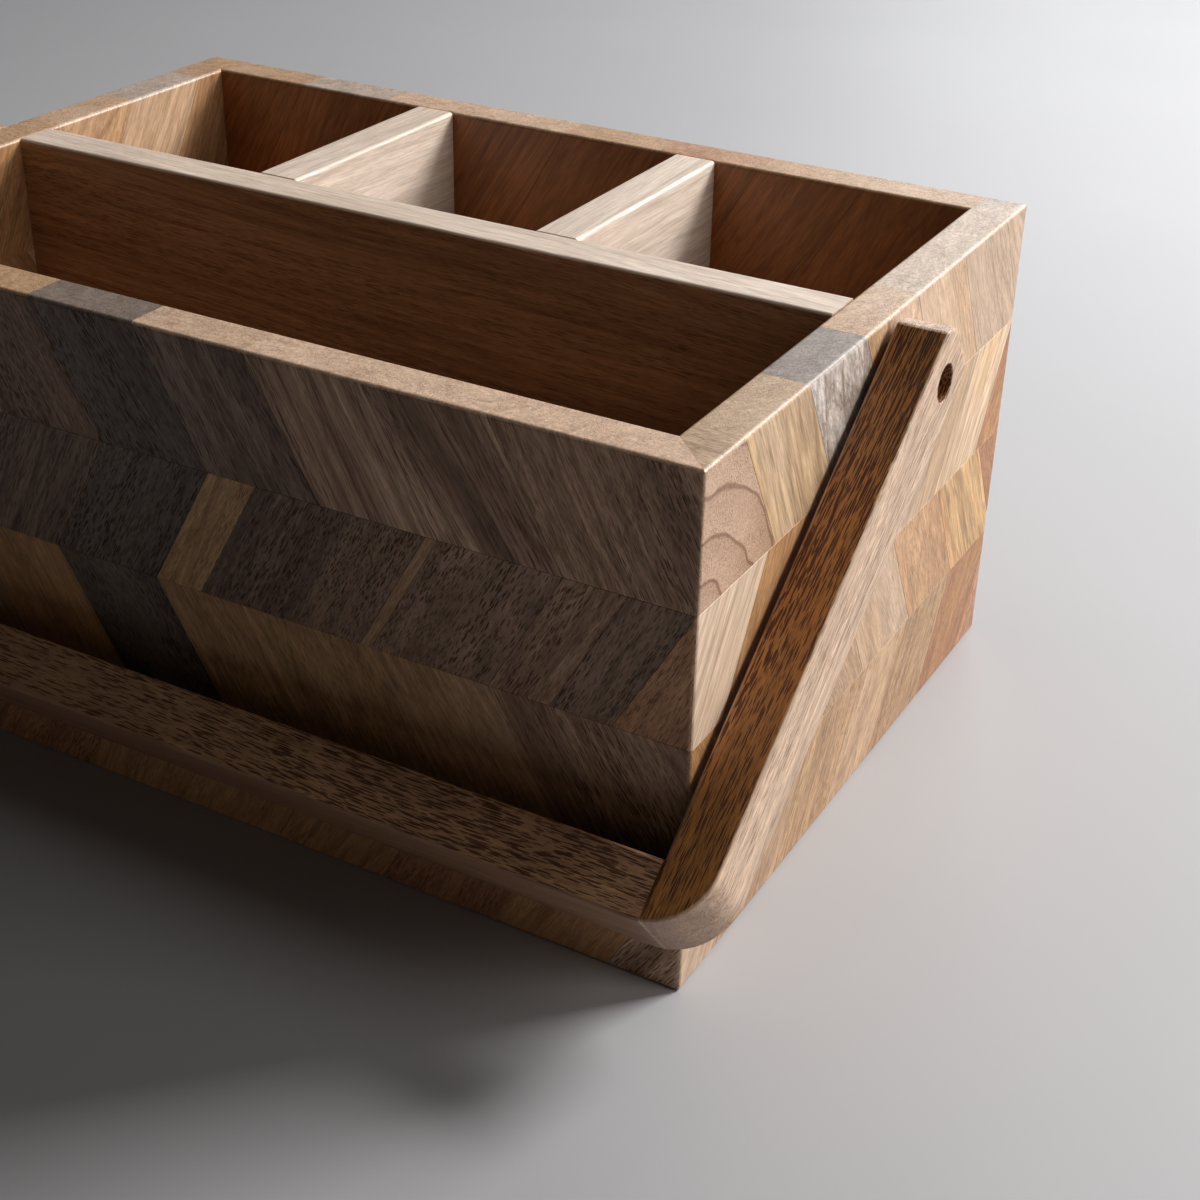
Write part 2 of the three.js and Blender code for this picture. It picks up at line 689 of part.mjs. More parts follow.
function makePivots() {
  const group = new THREE.Group();
  for (const [sideName, turn] of [["left", Math.PI], ["right", 0]]) {
    const side = new THREE.Group();
    side.position.set(Math.cos(turn) * (BOX_LENGTH / 2), 0, PIVOT_Z);
    side.rotation.z = turn;
    side.add(piece(`pivot_screw_${sideName}`, pivotScrew(), metal(COLOURS.steel)));

    const underHead = washer(HEAD_WASHER_DIAMETER, WASHER_BORE, HEAD_WASHER_THICKNESS - RUNNING_GAP);
    const headWasher = piece(`head_washer_${sideName}`, underHead, metal(COLOURS.steel));
    headWasher.position.x = HEAD_WASHER_X;
    side.add(headWasher);

    const between = washer(SPACER_DIAMETER, WASHER_BORE, ARM_GAP - 2 * RUNNING_GAP);
    const spacer = piece(`spacer_washer_${sideName}`, between, metal(COLOURS.steel));
    spacer.position.x = RUNNING_GAP;
    side.add(spacer);

    const sleeve = washer(INSERT_DIAMETER, WASHER_BORE, INSERT_LENGTH);
    const insert = piece(`threaded_insert_${sideName}`, sleeve, metal(COLOURS.brass));
    insert.position.x = -(INSERT_RECESS + INSERT_LENGTH);
    side.add(insert);
    group.add(side);
  }
  return group;
}

const caddy = new THREE.Group();
caddy.add(makeWalls());
caddy.add(makeSplines());
caddy.add(makeBase());
caddy.add(makeLongDivider());
caddy.add(makeCrossDividers());
caddy.add(makeHandle());
caddy.add(makePivots());

export default caddy;
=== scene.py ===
import json
import math
import random
from collections import namedtuple

import bmesh
import bpy
from mathutils import Matrix, Vector


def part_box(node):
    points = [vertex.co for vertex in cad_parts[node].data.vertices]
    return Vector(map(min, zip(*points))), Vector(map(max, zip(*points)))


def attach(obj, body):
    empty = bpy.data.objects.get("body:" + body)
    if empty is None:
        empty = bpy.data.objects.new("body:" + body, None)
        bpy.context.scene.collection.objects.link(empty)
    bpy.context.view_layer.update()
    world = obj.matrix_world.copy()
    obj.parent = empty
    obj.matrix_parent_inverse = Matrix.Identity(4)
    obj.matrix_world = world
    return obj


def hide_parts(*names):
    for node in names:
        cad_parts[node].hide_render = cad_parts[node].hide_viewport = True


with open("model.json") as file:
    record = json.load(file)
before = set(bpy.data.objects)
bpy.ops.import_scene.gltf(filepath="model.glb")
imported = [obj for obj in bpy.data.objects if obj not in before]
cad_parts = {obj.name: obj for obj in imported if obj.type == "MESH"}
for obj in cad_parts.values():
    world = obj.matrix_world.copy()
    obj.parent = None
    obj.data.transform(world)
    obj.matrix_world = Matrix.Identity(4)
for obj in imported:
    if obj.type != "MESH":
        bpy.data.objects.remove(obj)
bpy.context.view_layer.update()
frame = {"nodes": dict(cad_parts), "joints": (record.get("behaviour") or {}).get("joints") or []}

# A wooden caddy: chevron walls of slanted strips, dividers, and a bail handle that swings over the box.
# Metres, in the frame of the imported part: +Z up, the front faces -Y.

MM = 0.001
X_AXIS = Vector((1, 0, 0))
Y_AXIS = Vector((0, 1, 0))
Z_AXIS = Vector((0, 0, 1))

# Sizes that the frame gives
RIM_LOW, RIM_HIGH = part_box("front_wall_course_1")
BOX_LENGTH = RIM_HIGH.x - RIM_LOW.x
BOX_DEPTH = -2 * RIM_LOW.y
BOX_HEIGHT = RIM_HIGH.z
WALL_THICKNESS = RIM_HIGH.y - RIM_LOW.y
COURSE_HEIGHT = RIM_HIGH.z - RIM_LOW.z
COURSE_COUNT = round(BOX_HEIGHT / COURSE_HEIGHT)
BASE_LOW, BASE_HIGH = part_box("base_panel")
BASE_THICKNESS = BASE_HIGH.z - BASE_LOW.z
ARM_LOW, ARM_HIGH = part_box("handle_arm_right")
ARM_INNER_X = ARM_LOW.x
ARM_OUTER_X = ARM_HIGH.x
PIVOT = Vector(frame["joints"][0]["pos_m"])

# Sizes of the joinery
EDGE_RADIUS = 1.2 * MM
CORNER_RADIUS = 1.1 * MM
REBATE_DEPTH = 8 * MM
JOINT_GAP = 0.03 * MM
JOINT_EASE = 0.07 * MM
ARC_STEPS = 5
CORNER_PLANES = 3
PLANE_TOLERANCE = 1e-8

# Sizes of the handle, level and reaching forward from its pivot before it is let down
ARM_DEPTH = 23.7 * MM
ARM_PAST_PIVOT = 12 * MM
ARM_CLIP = 4.3 * MM
REACH_PAST_WALL = 37 * MM
CROSSBAR_THICKNESS = 15.7 * MM
BAIL_RADIUS = 17 * MM
REST_GAP = 0.3 * MM
HANDLE_EDGE = 0.9 * MM
RECESS_RADIUS = 5 * MM
RECESS_FLOOR = 5.5 * MM
RECESS_EASE = 0.3 * MM
SCREW_HOLE_RADIUS = 2.75 * MM
HANDLE_EDGE_STEPS = 3
BAIL_STEPS = 24
BORE_STEPS = 48
SHARP_ANGLE = math.radians(30)
PLANE_SEARCH = 0.01 * MM
BAIL_JOINT_ANGLE = math.degrees(math.acos((ARM_INNER_X - ARM_OUTER_X + BAIL_RADIUS) / BAIL_RADIUS))
CROSSBAR_REACH = BOX_DEPTH / 2 + REACH_PAST_WALL
HANDLE_REACH = CROSSBAR_REACH + CROSSBAR_THICKNESS
CROSSBAR_EDGE_RADIUS = math.hypot(CROSSBAR_REACH, ARM_DEPTH / 2)
CROSSBAR_EDGE_ANGLE = math.atan2(ARM_DEPTH / 2, CROSSBAR_REACH)
REST_ANGLE = math.acos((BOX_DEPTH / 2 + REST_GAP) / CROSSBAR_EDGE_RADIUS) - CROSSBAR_EDGE_ANGLE
HANDLE_PLACE = Matrix.Translation(PIVOT) @ Matrix.Rotation(REST_ANGLE, 4, "X")

# Kinds of wood: base and accent colours in 8-bit display values, strength of the growth rings and their
# number in a metre, strengths of streaks and pores, and how far in degrees the grain leans out of the face
Kind = namedtuple("Kind", "base accent rings ring_rate streaks pores lean")
KINDS = {
    "cream": Kind((222, 194, 166), (214, 174, 128), 0.30, 160, 0.45, 0.25, 5),
    "tan": Kind((196, 160, 124), (172, 130, 92), 0.30, 220, 0.60, 0.55, 6),
    "ringed": Kind((202, 168, 142), (188, 152, 126), 0.85, 92, 0.10, 0.70, 80),
    "arched": Kind((214, 184, 154), (208, 164, 116), 0.45, 130, 0.55, 0.30, 14),
    "yellow": Kind((220, 190, 156), (224, 176, 104), 0.30, 180, 0.75, 0.25, 4),
    "golden": Kind((190, 150, 108), (204, 166, 120), 0.30, 220, 0.60, 0.70, 6),
    "orange": Kind((202, 154, 108), (216, 174, 128), 0.30, 200, 0.50, 0.45, 6),
    "amber": Kind((178, 122, 76), (198, 146, 84), 0.45, 130, 0.60, 0.45, 10),
    "gold": Kind((208, 167, 113), (190, 130, 70), 0.30, 180, 0.90, 0.20, 4),
    "red": Kind((196, 142, 106), (166, 112, 80), 0.35, 220, 0.60, 0.80, 6),
    "russet": Kind((194, 147, 107), (185, 138, 99), 0.30, 220, 0.60, 0.75, 6),
    "brown": Kind((182, 148, 122), (146, 116, 94), 0.30, 220, 0.80, 0.95, 6),
    "striped": Kind((202, 170, 144), (158, 127, 107), 0.25, 230, 1.00, 0.85, 2),
    "smoky": Kind((146, 121, 108), (136, 112, 100), 0.25, 225, 0.85, 1.00, 4),
    "umber": Kind((162, 132, 112), (124, 98, 84), 0.20, 220, 0.70, 1.15, 8),
    "charcoal": Kind((122, 108, 98), (100, 88, 80), 0.20, 220, 0.60, 1.10, 8),
    "pale": Kind((236, 210, 184), (226, 190, 146), 0.30, 170, 0.45, 0.25, 4),
    "blond": Kind((208, 178, 150), (202, 160, 112), 0.35, 150, 0.50, 0.30, 6),
    "grey": Kind((218, 208, 202), (154, 138, 130), 0.60, 110, 0.90, 0.30, 20),
    "ticked": Kind((226, 196, 170), (186, 154, 130), 0.20, 220, 0.80, 0.95, 5),
    # The plain rim tone: pale, with painted sheen
    "rim": Kind((227, 195, 169), (214, 180, 152), 0.10, 200, 0.45, 0.55, 0),
    # Warm dark tone of painted shade on the walls' inner faces
    "inside": Kind((164, 104, 54), (142, 86, 40), 0.25, 200, 0.60, 0.10, 0),
    # The long divider's faces, painted darker than its top: painted shade
    "divider": Kind((172, 132, 96), (150, 112, 78), 0.20, 200, 0.60, 0.60, 2),
    # The cross dividers' pale tone, also painted on every divider's top as painted sheen
    "pale_divider_and_top_sheen": Kind((240, 222, 206), (226, 204, 182), 0.15, 200, 0.30, 0.20, 2),
    "crossbar": Kind((176, 136, 102), (152, 112, 82), 0.15, 200, 0.50, 1.60, 3),
    "arm": Kind((188, 128, 70), (160, 102, 52), 0.15, 200, 0.50, 1.85, 2),
    # The arms' sides: finer pores from the cut, and painted pale beside the arms' darker broad faces:
    # painted light
    "arm_side": Kind((220, 190, 163), (202, 168, 138), 0.15, 200, 0.60, 0.75, 2),
    "bail_front": Kind((162, 122, 94), (142, 104, 80), 0.10, 200, 0.35, 0.30, 2),
    "plank": Kind((188, 150, 112), (164, 124, 88), 0.35, 200, 0.60, 0.60, 4),
}

# Chevron layout. Strips lie from a wall's left end to its right end as seen from outside, and the first one
# ends at the wall's first joint. A strip is a kind, or a kind with its width in millimetres where it isn't
# one pitch wide.
PITCH = 34.2 * MM
STRIP_ANGLE = math.radians(60)
SLANT = COURSE_HEIGHT / math.tan(STRIP_ANGLE)
FRONT_FIRST_JOINT = 5.6 * MM
RIGHT_FIRST_JOINT = 19.5 * MM
BACK_FIRST_JOINT = 12.0 * MM
LEFT_FIRST_JOINT = 25.0 * MM
FRONT_STRIPS = [
    ["tan", "brown", "tan", "umber", "charcoal", "smoky", "striped", "striped", "brown", "brown"],
    [
        "tan", "charcoal", "brown", "smoky", "charcoal", ("golden", 14.8), ("smoky", 19.4),
        ("umber", 30.8), ("tan", 3.4), "umber", ("brown", 17.1), ("umber", 17.1), "russet",
    ],
    ["brown", "golden", "tan", "orange", "charcoal", "golden", "golden", "tan", "brown", "brown"],
    ["golden", "tan", "red", "red", "orange", "orange", "orange", "red", "orange", "ticked"],
]
RIGHT_STRIPS = [
    ["ringed", "yellow", "grey", "arched", "blond", "blond", "blond"],
    [("pale", 30.6), "orange", "tan", "arched", "blond", "yellow", "amber"],
    # Towards the back end of the lower courses the strips are darker, warmer kinds: painted shade low at the
    # back corner
    ["orange", "brown", "tan", "blond", "orange", "gold", "amber"],
    ["blond", "tan", "golden", "tan", "golden", "amber", "red"],
]
BACK_STRIPS = [
    ["cream", "tan", "golden", "red", "tan", "striped", "brown", "cream", "tan", "golden"],
    ["tan", "orange", "golden", "brown", "umber", "tan", "golden", "charcoal", "brown", "tan"],
    ["golden", "tan", "orange", "cream", "brown", "golden", "umber", "tan", "striped", "orange"],
    ["red", "golden", "tan", "red", "striped", "orange", "brown", "golden", "red", "tan"],
]
LEFT_STRIPS = [
    ["tan", "cream", "arched", "golden", "striped", "brown", "tan"],
    ["golden", "brown", "cream", "tan", "umber", "orange", "golden"],
    ["cream", "tan", "striped", "arched", "golden", "brown", "tan"],
    ["brown", "red", "golden", "tan", "arched", "orange", "brown"],
]
# Where the pith of a ringed strip meets the wall's face, from the top corner at the wall's left end
RING_CENTRE = (-4.6 * MM, -54.3 * MM)


def display_to_linear(colour):
    """An 8-bit display colour as linear light, with full alpha."""
    parts = [part / 255 for part in colour]
    linear = [p / 12.92 if p <= 0.04045 else ((p + 0.055) / 1.055) ** 2.4 for p in parts]
    return (*linear, 1)


# Meshes


def prism(section, start, end):
    """A closed prism along X from a section of (y, z) points."""
    bm = bmesh.new()
    near = [bm.verts.new((start, y, z)) for y, z in section]
    far = [bm.verts.new((end, y, z)) for y, z in section]
    bm.faces.new(near)
    bm.faces.new(far[::-1])
    for i in range(len(section)):
        bm.faces.new((near[i - 1], far[i - 1], far[i], near[i]))
    bmesh.ops.recalc_face_normals(bm, faces=bm.faces)
    return bm


def slice_off(bm, point, normal):
    """Removes what lies beyond a plane, closes the cut and returns the new faces."""
    geometry = bm.verts[:] + bm.edges[:] + bm.faces[:]
    cut = bmesh.ops.bisect_plane(
        bm, geom=geometry, dist=PLANE_TOLERANCE, plane_co=point, plane_no=normal, clear_outer=True
    )
    edges = [item for item in cut["geom_cut"] if isinstance(item, bmesh.types.BMEdge)]
    return bmesh.ops.edgeloop_fill(bm, edges=edges)["faces"] if edges else []


def arc(centre, radius, start, end, steps=ARC_STEPS):
    """Points on an arc about a centre in a plane, angles in degrees."""
    angles = [math.radians(start + (end - start) * i / steps) for i in range(steps + 1)]
    return [(centre[0] + radius * math.cos(a), centre[1] + radius * math.sin(a)) for a in angles]


def add_layers(bm):
    """The attributes that the wood material reads."""
    return (
        bm.verts.layers.float_vector.new("grain"),
        bm.verts.layers.float_vector.new("figure"),
        bm.verts.layers.float.new("ring_rate"),
        bm.verts.layers.float_color.new("tone"),
        bm.verts.layers.float_color.new("accent"),
        bm.faces.layers.float.new("glue"),
    )


# How boards differ: places along the log in metres, angles in degrees, distance from the pith, shade
GRAIN_SEED_REACH = 0.8
GRAIN_SWAY = 3
GRAIN_ROLL = 80
PITH_NEAR = 18 * MM
PITH_FAR = 75 * MM
SHADE_LOW = 0.92
SHADE_HIGH = 1.08


def paint_wood(bm, layers, kind_name, along, face_normal, draw, pith_point=None):
    """Gives a board its grain axes and colours. In grain space x runs with the grain, and y and z are
    measured from the pith."""
    kind = KINDS[kind_name]
    lean = math.radians(kind.lean) * draw.choice((-1, 1))
    sway = math.radians(draw.uniform(-GRAIN_SWAY, GRAIN_SWAY))
    across = along.cross(face_normal)
    turn = Matrix.Rotation(lean, 3, across) @ Matrix.Rotation(sway, 3, face_normal)
    grain_x = turn @ along
    roll = Matrix.Rotation(math.radians(draw.uniform(-GRAIN_ROLL, GRAIN_ROLL)), 3, grain_x)
    grain_y = roll @ (turn @ across)
    grain_z = roll @ (turn @ face_normal)
    origin = sum((v.co for v in bm.verts), Vector()) / len(bm.verts)
    seed = draw.uniform(-GRAIN_SEED_REACH, GRAIN_SEED_REACH)
    pith = Vector((seed, draw.uniform(-PITH_NEAR, PITH_NEAR), draw.uniform(PITH_NEAR, PITH_FAR)))
    if pith_point:
        origin = pith_point
        pith = Vector((seed, 0, 0))
    grain = layers[0]
    for vert in bm.verts:
        place = vert.co - origin
        vert[grain] = Vector((place.dot(grain_x), place.dot(grain_y), place.dot(grain_z))) + pith
    colour_wood(bm.verts, layers, kind, draw.uniform(SHADE_LOW, SHADE_HIGH))


def colour_wood(verts, layers, kind, shade):
    """Gives vertices the colours and the figure of a kind of wood."""
    _, figure, ring_rate, tone, accent, _ = layers
    base_colour = Vector(display_to_linear(kind.base)) * shade
    accent_colour = Vector(display_to_linear(kind.accent)) * shade
    strengths = Vector((kind.rings, kind.streaks, kind.pores))
    for vert in verts:
        vert[figure] = strengths
        vert[ring_rate] = kind.ring_rate
        vert[tone] = base_colour
        vert[accent] = accent_colour


def blend_kinds(first, second, share):
    """A kind of wood between two others."""

    def between(a, b):
        if isinstance(a, tuple):
            return tuple(between(p, q) for p, q in zip(a, b))
        return a + (b - a) * share

    return Kind(*map(between, first, second))


# How far a kind's rim leans to the plain rim, and rims that have a tone of their own. Rims are painted paler
# than the faces below them: a painted sheen on the lit top.
RIM_SHEEN_SHARE = 0.55
RIM_SHEEN_TONES = {
    "charcoal": (143, 129, 119),
    "smoky": (219, 188, 162),
    "umber": (204, 168, 132),
    "brown": (229, 197, 171),
    "striped": (229, 198, 172),
    "grey": (164, 152, 144),
    "cream": (206, 188, 174),
    "ringed": (204, 174, 146),
    "yellow": (208, 178, 148),
    "blond": (218, 196, 176),
}


def sheened_rim_kind(kind_name):
    """A kind as it looks on the sanded rim: smoother than on the wall's faces, which is the cut's own
    figure, and mostly paler, which is painted sheen.
    """
    rim = KINDS["rim"]
    if kind_name in RIM_SHEEN_TONES:
        return rim._replace(base=RIM_SHEEN_TONES[kind_name], accent=RIM_SHEEN_TONES[kind_name])
    mixed = blend_kinds(KINDS[kind_name], rim, RIM_SHEEN_SHARE)
    return mixed._replace(rings=rim.rings, streaks=rim.streaks, pores=rim.pores)


def pour(target, part):
    """Adds one mesh in the making to another and frees it."""
    bmesh.ops.recalc_face_normals(part, faces=part.faces)
    mesh = bpy.data.meshes.new("part")
    part.to_mesh(mesh)
    part.free()
    target.from_mesh(mesh)
    bpy.data.meshes.remove(mesh)


SMOOTH_ANGLE = math.radians(40)


def place_piece(name, bm, material, body, node):
    """Turns a finished mesh into a piece that rides on a body and stands for a node of the frame."""
    mesh = bpy.data.meshes.new(name)
    bm.to_mesh(mesh)
    bm.free()
    mesh.materials.append(material)
    mesh.shade_smooth()
    mesh.set_sharp_from_angle(angle=SMOOTH_ANGLE)
    piece = bpy.data.objects.new(name, mesh)
    bpy.context.scene.collection.objects.link(piece)
    normals = piece.modifiers.new("flat_faces_stay_flat", "WEIGHTED_NORMAL")
    normals.keep_sharp = True
    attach(piece, body)
    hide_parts(node)


# Materials


class Graph:
    """A material's nodes, made by short calls. Values are numbers, tuples or other nodes' sockets."""

    def __init__(self, name):
        self.material = bpy.data.materials.new(name)
        self.material.use_nodes = True
        self.tree = self.material.node_tree
        self.shader = self.tree.nodes["Principled BSDF"]

    def feed(self, socket, value):
        if isinstance(value, bpy.types.NodeSocket):
            self.tree.links.new(value, socket)
        else:
            socket.default_value = value

    def node(self, kind, values, **settings):
        node = self.tree.nodes.new(kind)
        for key, setting in settings.items():
            setattr(node, key, setting)
        for key, value in values.items():
            self.feed(node.inputs[key], value)
        return node

    def math(self, operation, *values):
        return self.node("ShaderNodeMath", dict(enumerate(values)), operation=operation).outputs[0]

    def vector(self, operation, *values):
        node = self.node("ShaderNodeVectorMath", dict(enumerate(values)), operation=operation)
        return node.outputs["Value" if operation == "LENGTH" else "Vector"]

    def attribute(self, name, output):
        return self.node("ShaderNodeAttribute", {}, attribute_name=name).outputs[output]

    def split(self, vector):
        return self.node("ShaderNodeSeparateXYZ", {0: vector}).outputs

    def noise(self, vector, stretch, detail=2.0, roughness=0.5, output="Fac"):
        scaled = self.vector("MULTIPLY", vector, stretch)
        values = {"Vector": scaled, "Scale": 1.0, "Detail": detail, "Roughness": roughness}
        return self.node("ShaderNodeTexNoise", values).outputs[output]

    def cells(self, vector, stretch):
        scaled = self.vector("MULTIPLY", vector, stretch)
        return self.node("ShaderNodeTexVoronoi", {"Vector": scaled, "Scale": 1.0}).outputs["Distance"]

    def ramp(self, value, low, high, to_low=0.0, to_high=1.0):
        values = {"Value": value, "From Min": low, "From Max": high, "To Min": to_low, "To Max": to_high}
        node = self.node("ShaderNodeMapRange", values, interpolation_type="SMOOTHSTEP")
        return node.outputs["Result"]

    def mix(self, factor, first, second, blend="MIX"):
        settings = {"data_type": "RGBA", "blend_type": blend, "clamp_factor": True}
        return self.node("ShaderNodeMix", {0: factor, 6: first, 7: second}, **settings).outputs[2]

    def set(self, **inputs):
        for key, value in inputs.items():
            self.feed(self.shader.inputs[key.replace("_", " ")], value)

    def bump(self, height, distance, strength):
        values = {"Height": height, "Distance": distance, "Strength": strength}
        self.set(Normal=self.node("ShaderNodeBump", values).outputs["Normal"])


# Glue lines and the relief of the fibres
GLUE_COLOUR = (0.020, 0.012, 0.007, 1)
GLUE_STRENGTH = 0.5
FIBRE_DEPTH = 0.06 * MM
FIBRE_BUMP = 0.6

# How often the parts of the figure repeat in a metre along the grain, across it and through it
WANDER_RATE = (5, 28, 28)
WANDER_REACH = (0, 0.009, 0.009)
UNEVEN_RING_RATE = (6, 60, 60)
BAND_RATE = (3.5, 42, 42)
STREAK_RATE = (8, 150, 420)
FLOW_RATE = (4, 120, 120)
FIBRE_RATE = (60, 1500, 1500)
HAIR_RATE = (16, 760, 760)
CROWD_RATE = (7, 90, 90)
VESSEL_RATE = (105, 1900, 1900)
SPECK_RATE = (230, 2400, 2400)

# What the parts of the figure multiply the wood's colour by, and how strongly they show
DARK_STREAK = (0.56, 0.49, 0.43, 1)
LIGHT_STREAK = (1.20, 1.18, 1.15, 1)
LATE_WOOD = (0.42, 0.30, 0.22, 1)
PORE = (0.24, 0.16, 0.11, 1)
LATE_WOOD_SHARE = 0.30
FLOW_SHARE = 0.62
STREAK_SHARE = 0.8


def wood_graph(graph, grain, tone, accent, figure, ring_rate, glue, base_roughness):
    """Wood in grain space, with x along the grain in metres: rings, bands, streaks, flow lines and pores."""
    wander = graph.noise(grain, WANDER_RATE, detail=1, output="Color")
    wander = graph.vector("SUBTRACT", wander, (0.5, 0.5, 0.5))
    wander = graph.vector("MULTIPLY", wander, WANDER_REACH)
    warped = graph.vector("ADD", grain, wander)
    ring_strength, streak_strength, pore_strength = graph.split(figure)[:3]

    from_pith = graph.vector("LENGTH", graph.vector("MULTIPLY", warped, (0, 1, 1)))
    uneven = graph.noise(warped, UNEVEN_RING_RATE, detail=1)
    phase = graph.math("FRACT", graph.math("MULTIPLY_ADD", from_pith, ring_rate, uneven))
    late_wood = graph.math("MULTIPLY", graph.ramp(phase, 0.10, 0.90), LATE_WOOD_SHARE)
    late_line = graph.math("MULTIPLY", graph.ramp(phase, 0.84, 0.93), graph.ramp(phase, 1.0, 0.96))
    ring = graph.math("MULTIPLY", graph.math("MAXIMUM", late_wood, late_line), ring_strength)

    band = graph.ramp(graph.noise(warped, BAND_RATE, detail=1), 0.44, 0.64)
    streak = graph.ramp(graph.noise(warped, STREAK_RATE, detail=4, roughness=0.68), 0.34, 0.68)
    flow = graph.noise(warped, FLOW_RATE, detail=3, roughness=0.55)
    flow_line = graph.ramp(graph.math("ABSOLUTE", graph.math("SUBTRACT", flow, 0.47)), 0.030, 0.004)
    flow_line = graph.math("MULTIPLY", graph.math("MULTIPLY", flow_line, streak_strength), FLOW_SHARE)

    fibre = graph.noise(warped, FIBRE_RATE, detail=2, roughness=0.6)
    hair = graph.noise(warped, HAIR_RATE, detail=2, roughness=0.6)
    crowd = graph.ramp(graph.noise(warped, CROWD_RATE, detail=1), 0.36, 0.62, 0.6, 1.0)
    crowd = graph.math("MULTIPLY", crowd, pore_strength)
    from_vessel = graph.math("MULTIPLY_ADD", crowd, -0.16, graph.cells(warped, VESSEL_RATE))
    vessels = graph.ramp(from_vessel, 0.25, 0.13)
    specks = graph.ramp(graph.cells(warped, SPECK_RATE), 0.38, 0.26, 0.0, 0.60)
    pores = graph.math("MULTIPLY", graph.math("MAXIMUM", vessels, specks), crowd)
    pores = graph.math("MINIMUM", pores, 1.0)

    colour = graph.mix(graph.math("MULTIPLY", band, streak_strength), tone, accent)
    darker = graph.mix(1.0, colour, DARK_STREAK, "MULTIPLY")
    lighter = graph.mix(1.0, colour, LIGHT_STREAK, "MULTIPLY")
    streaked = graph.mix(streak, darker, lighter)
    colour = graph.mix(graph.math("MULTIPLY", streak_strength, STREAK_SHARE), colour, streaked)
    shade = graph.math("MAXIMUM", ring, flow_line)
    colour = graph.mix(shade, colour, graph.mix(1.0, colour, LATE_WOOD, "MULTIPLY"))
    hair_lift = graph.math("MULTIPLY", graph.ramp(hair, 0.3, 0.7, -0.22, 0.18), streak_strength)
    lift = graph.math("ADD", hair_lift, graph.ramp(fibre, 0.3, 0.7, 1.12, 0.86))
    lift = graph.node("ShaderNodeCombineXYZ", {0: lift, 1: lift, 2: lift}).outputs[0]
    colour = graph.vector("MULTIPLY", colour, lift)
    colour = graph.mix(pores, colour, graph.mix(1.0, colour, PORE, "MULTIPLY"))
    colour = graph.mix(graph.math("MULTIPLY", glue, GLUE_STRENGTH), colour, GLUE_COLOUR)

    roughness = graph.ramp(fibre, 0.3, 0.7, base_roughness - 0.04, base_roughness + 0.05)
    roughness = graph.math("MULTIPLY_ADD", pores, 0.25, roughness)
    height = graph.math("MULTIPLY_ADD", pores, -1.2, graph.math("MULTIPLY_ADD", streak, 0.4, fibre))
    graph.set(Base_Color=colour, Roughness=roughness)
    graph.bump(height, FIBRE_DEPTH, FIBRE_BUMP)


def painted_wood(name, base_roughness):
    """Wood whose grain and colours come from the piece's own attributes."""
    graph = Graph(name)
    wood_graph(
        graph,
        grain=graph.attribute("grain", "Vector"),
        tone=graph.attribute("tone", "Color"),
        accent=graph.attribute("accent", "Color"),
        figure=graph.attribute("figure", "Vector"),
        ring_rate=graph.attribute("ring_rate", "Fac"),
        glue=graph.attribute("glue", "Fac"),
        base_roughness=base_roughness,
    )
    return graph.material


# Dark streaks of plain wood, and tarnish and lathe lines of metal
DARK_SHARE = 0.6
TARNISH_SHARE = 0.62
LATHE_DEPTH = 0.01 * MM


def plain_wood(name, colour, stretch):
    """Close-grained wood for nodes that stay as the frame has them, with its grain along one axis."""
    graph = Graph(name)
    place = graph.node("ShaderNodeTexCoord", {}).outputs["Object"]
    streak = graph.ramp(graph.noise(place, stretch, detail=5, roughness=0.6), 0.32, 0.68)
    fleck = graph.ramp(graph.cells(place, tuple(3 * part for part in stretch)), 0.32, 0.12)
    base = display_to_linear(colour)
    dark = tuple(DARK_SHARE * part for part in base[:3]) + (1,)
    wood = graph.mix(streak, dark, base)
    wood = graph.mix(graph.math("MULTIPLY", fleck, 0.4), wood, dark)
    graph.set(Base_Color=wood, Roughness=graph.ramp(streak, 0, 1, 0.62, 0.5))
    graph.bump(streak, FIBRE_DEPTH, 0.4)
    return graph.material


def metal(name, colour, roughness):
    """Turned metal: fine lathe lines, faint tarnish and uneven gloss."""
    graph = Graph(name)
    place = graph.node("ShaderNodeTexCoord", {}).outputs["Object"]
    tarnish = graph.ramp(graph.noise(place, (420, 420, 420), detail=4), 0.35, 0.7)
    lines = graph.noise(place, (9000, 900, 900), detail=2)
    bright = display_to_linear(colour)
    dull = tuple(TARNISH_SHARE * part for part in bright[:3]) + (1,)
    turned_roughness = graph.ramp(lines, 0.3, 0.7, roughness, roughness + 0.08)
    uneven = graph.math("MULTIPLY_ADD", tarnish, 0.16, turned_roughness)
    graph.set(Base_Color=graph.mix(tarnish, bright, dull), Metallic=1.0, Roughness=uneven)
    graph.bump(lines, LATHE_DEPTH, 0.3)
    return graph.material


WALL_WOOD = painted_wood("wall_wood", 0.40)
DIVIDER_WOOD = painted_wood("divider_wood", 0.46)
HANDLE_WOOD = painted_wood("handle_wood", 0.40)
BASE_WOOD = painted_wood("base_wood", 0.50)
STEEL = metal("zinc_steel", (168, 170, 174), 0.30)
BRASS = metal("turned_brass", (196, 158, 92), 0.28)


# Walls. In a wall's own frame x runs along it, y inward from its outer face, z up.


def wall_place(turn, offset):
    """Where a wall's own frame stands: turned about Z in degrees, then moved out."""
    return Matrix.Rotation(math.radians(turn), 4, "Z") @ Matrix.Translation((0, -offset, 0))


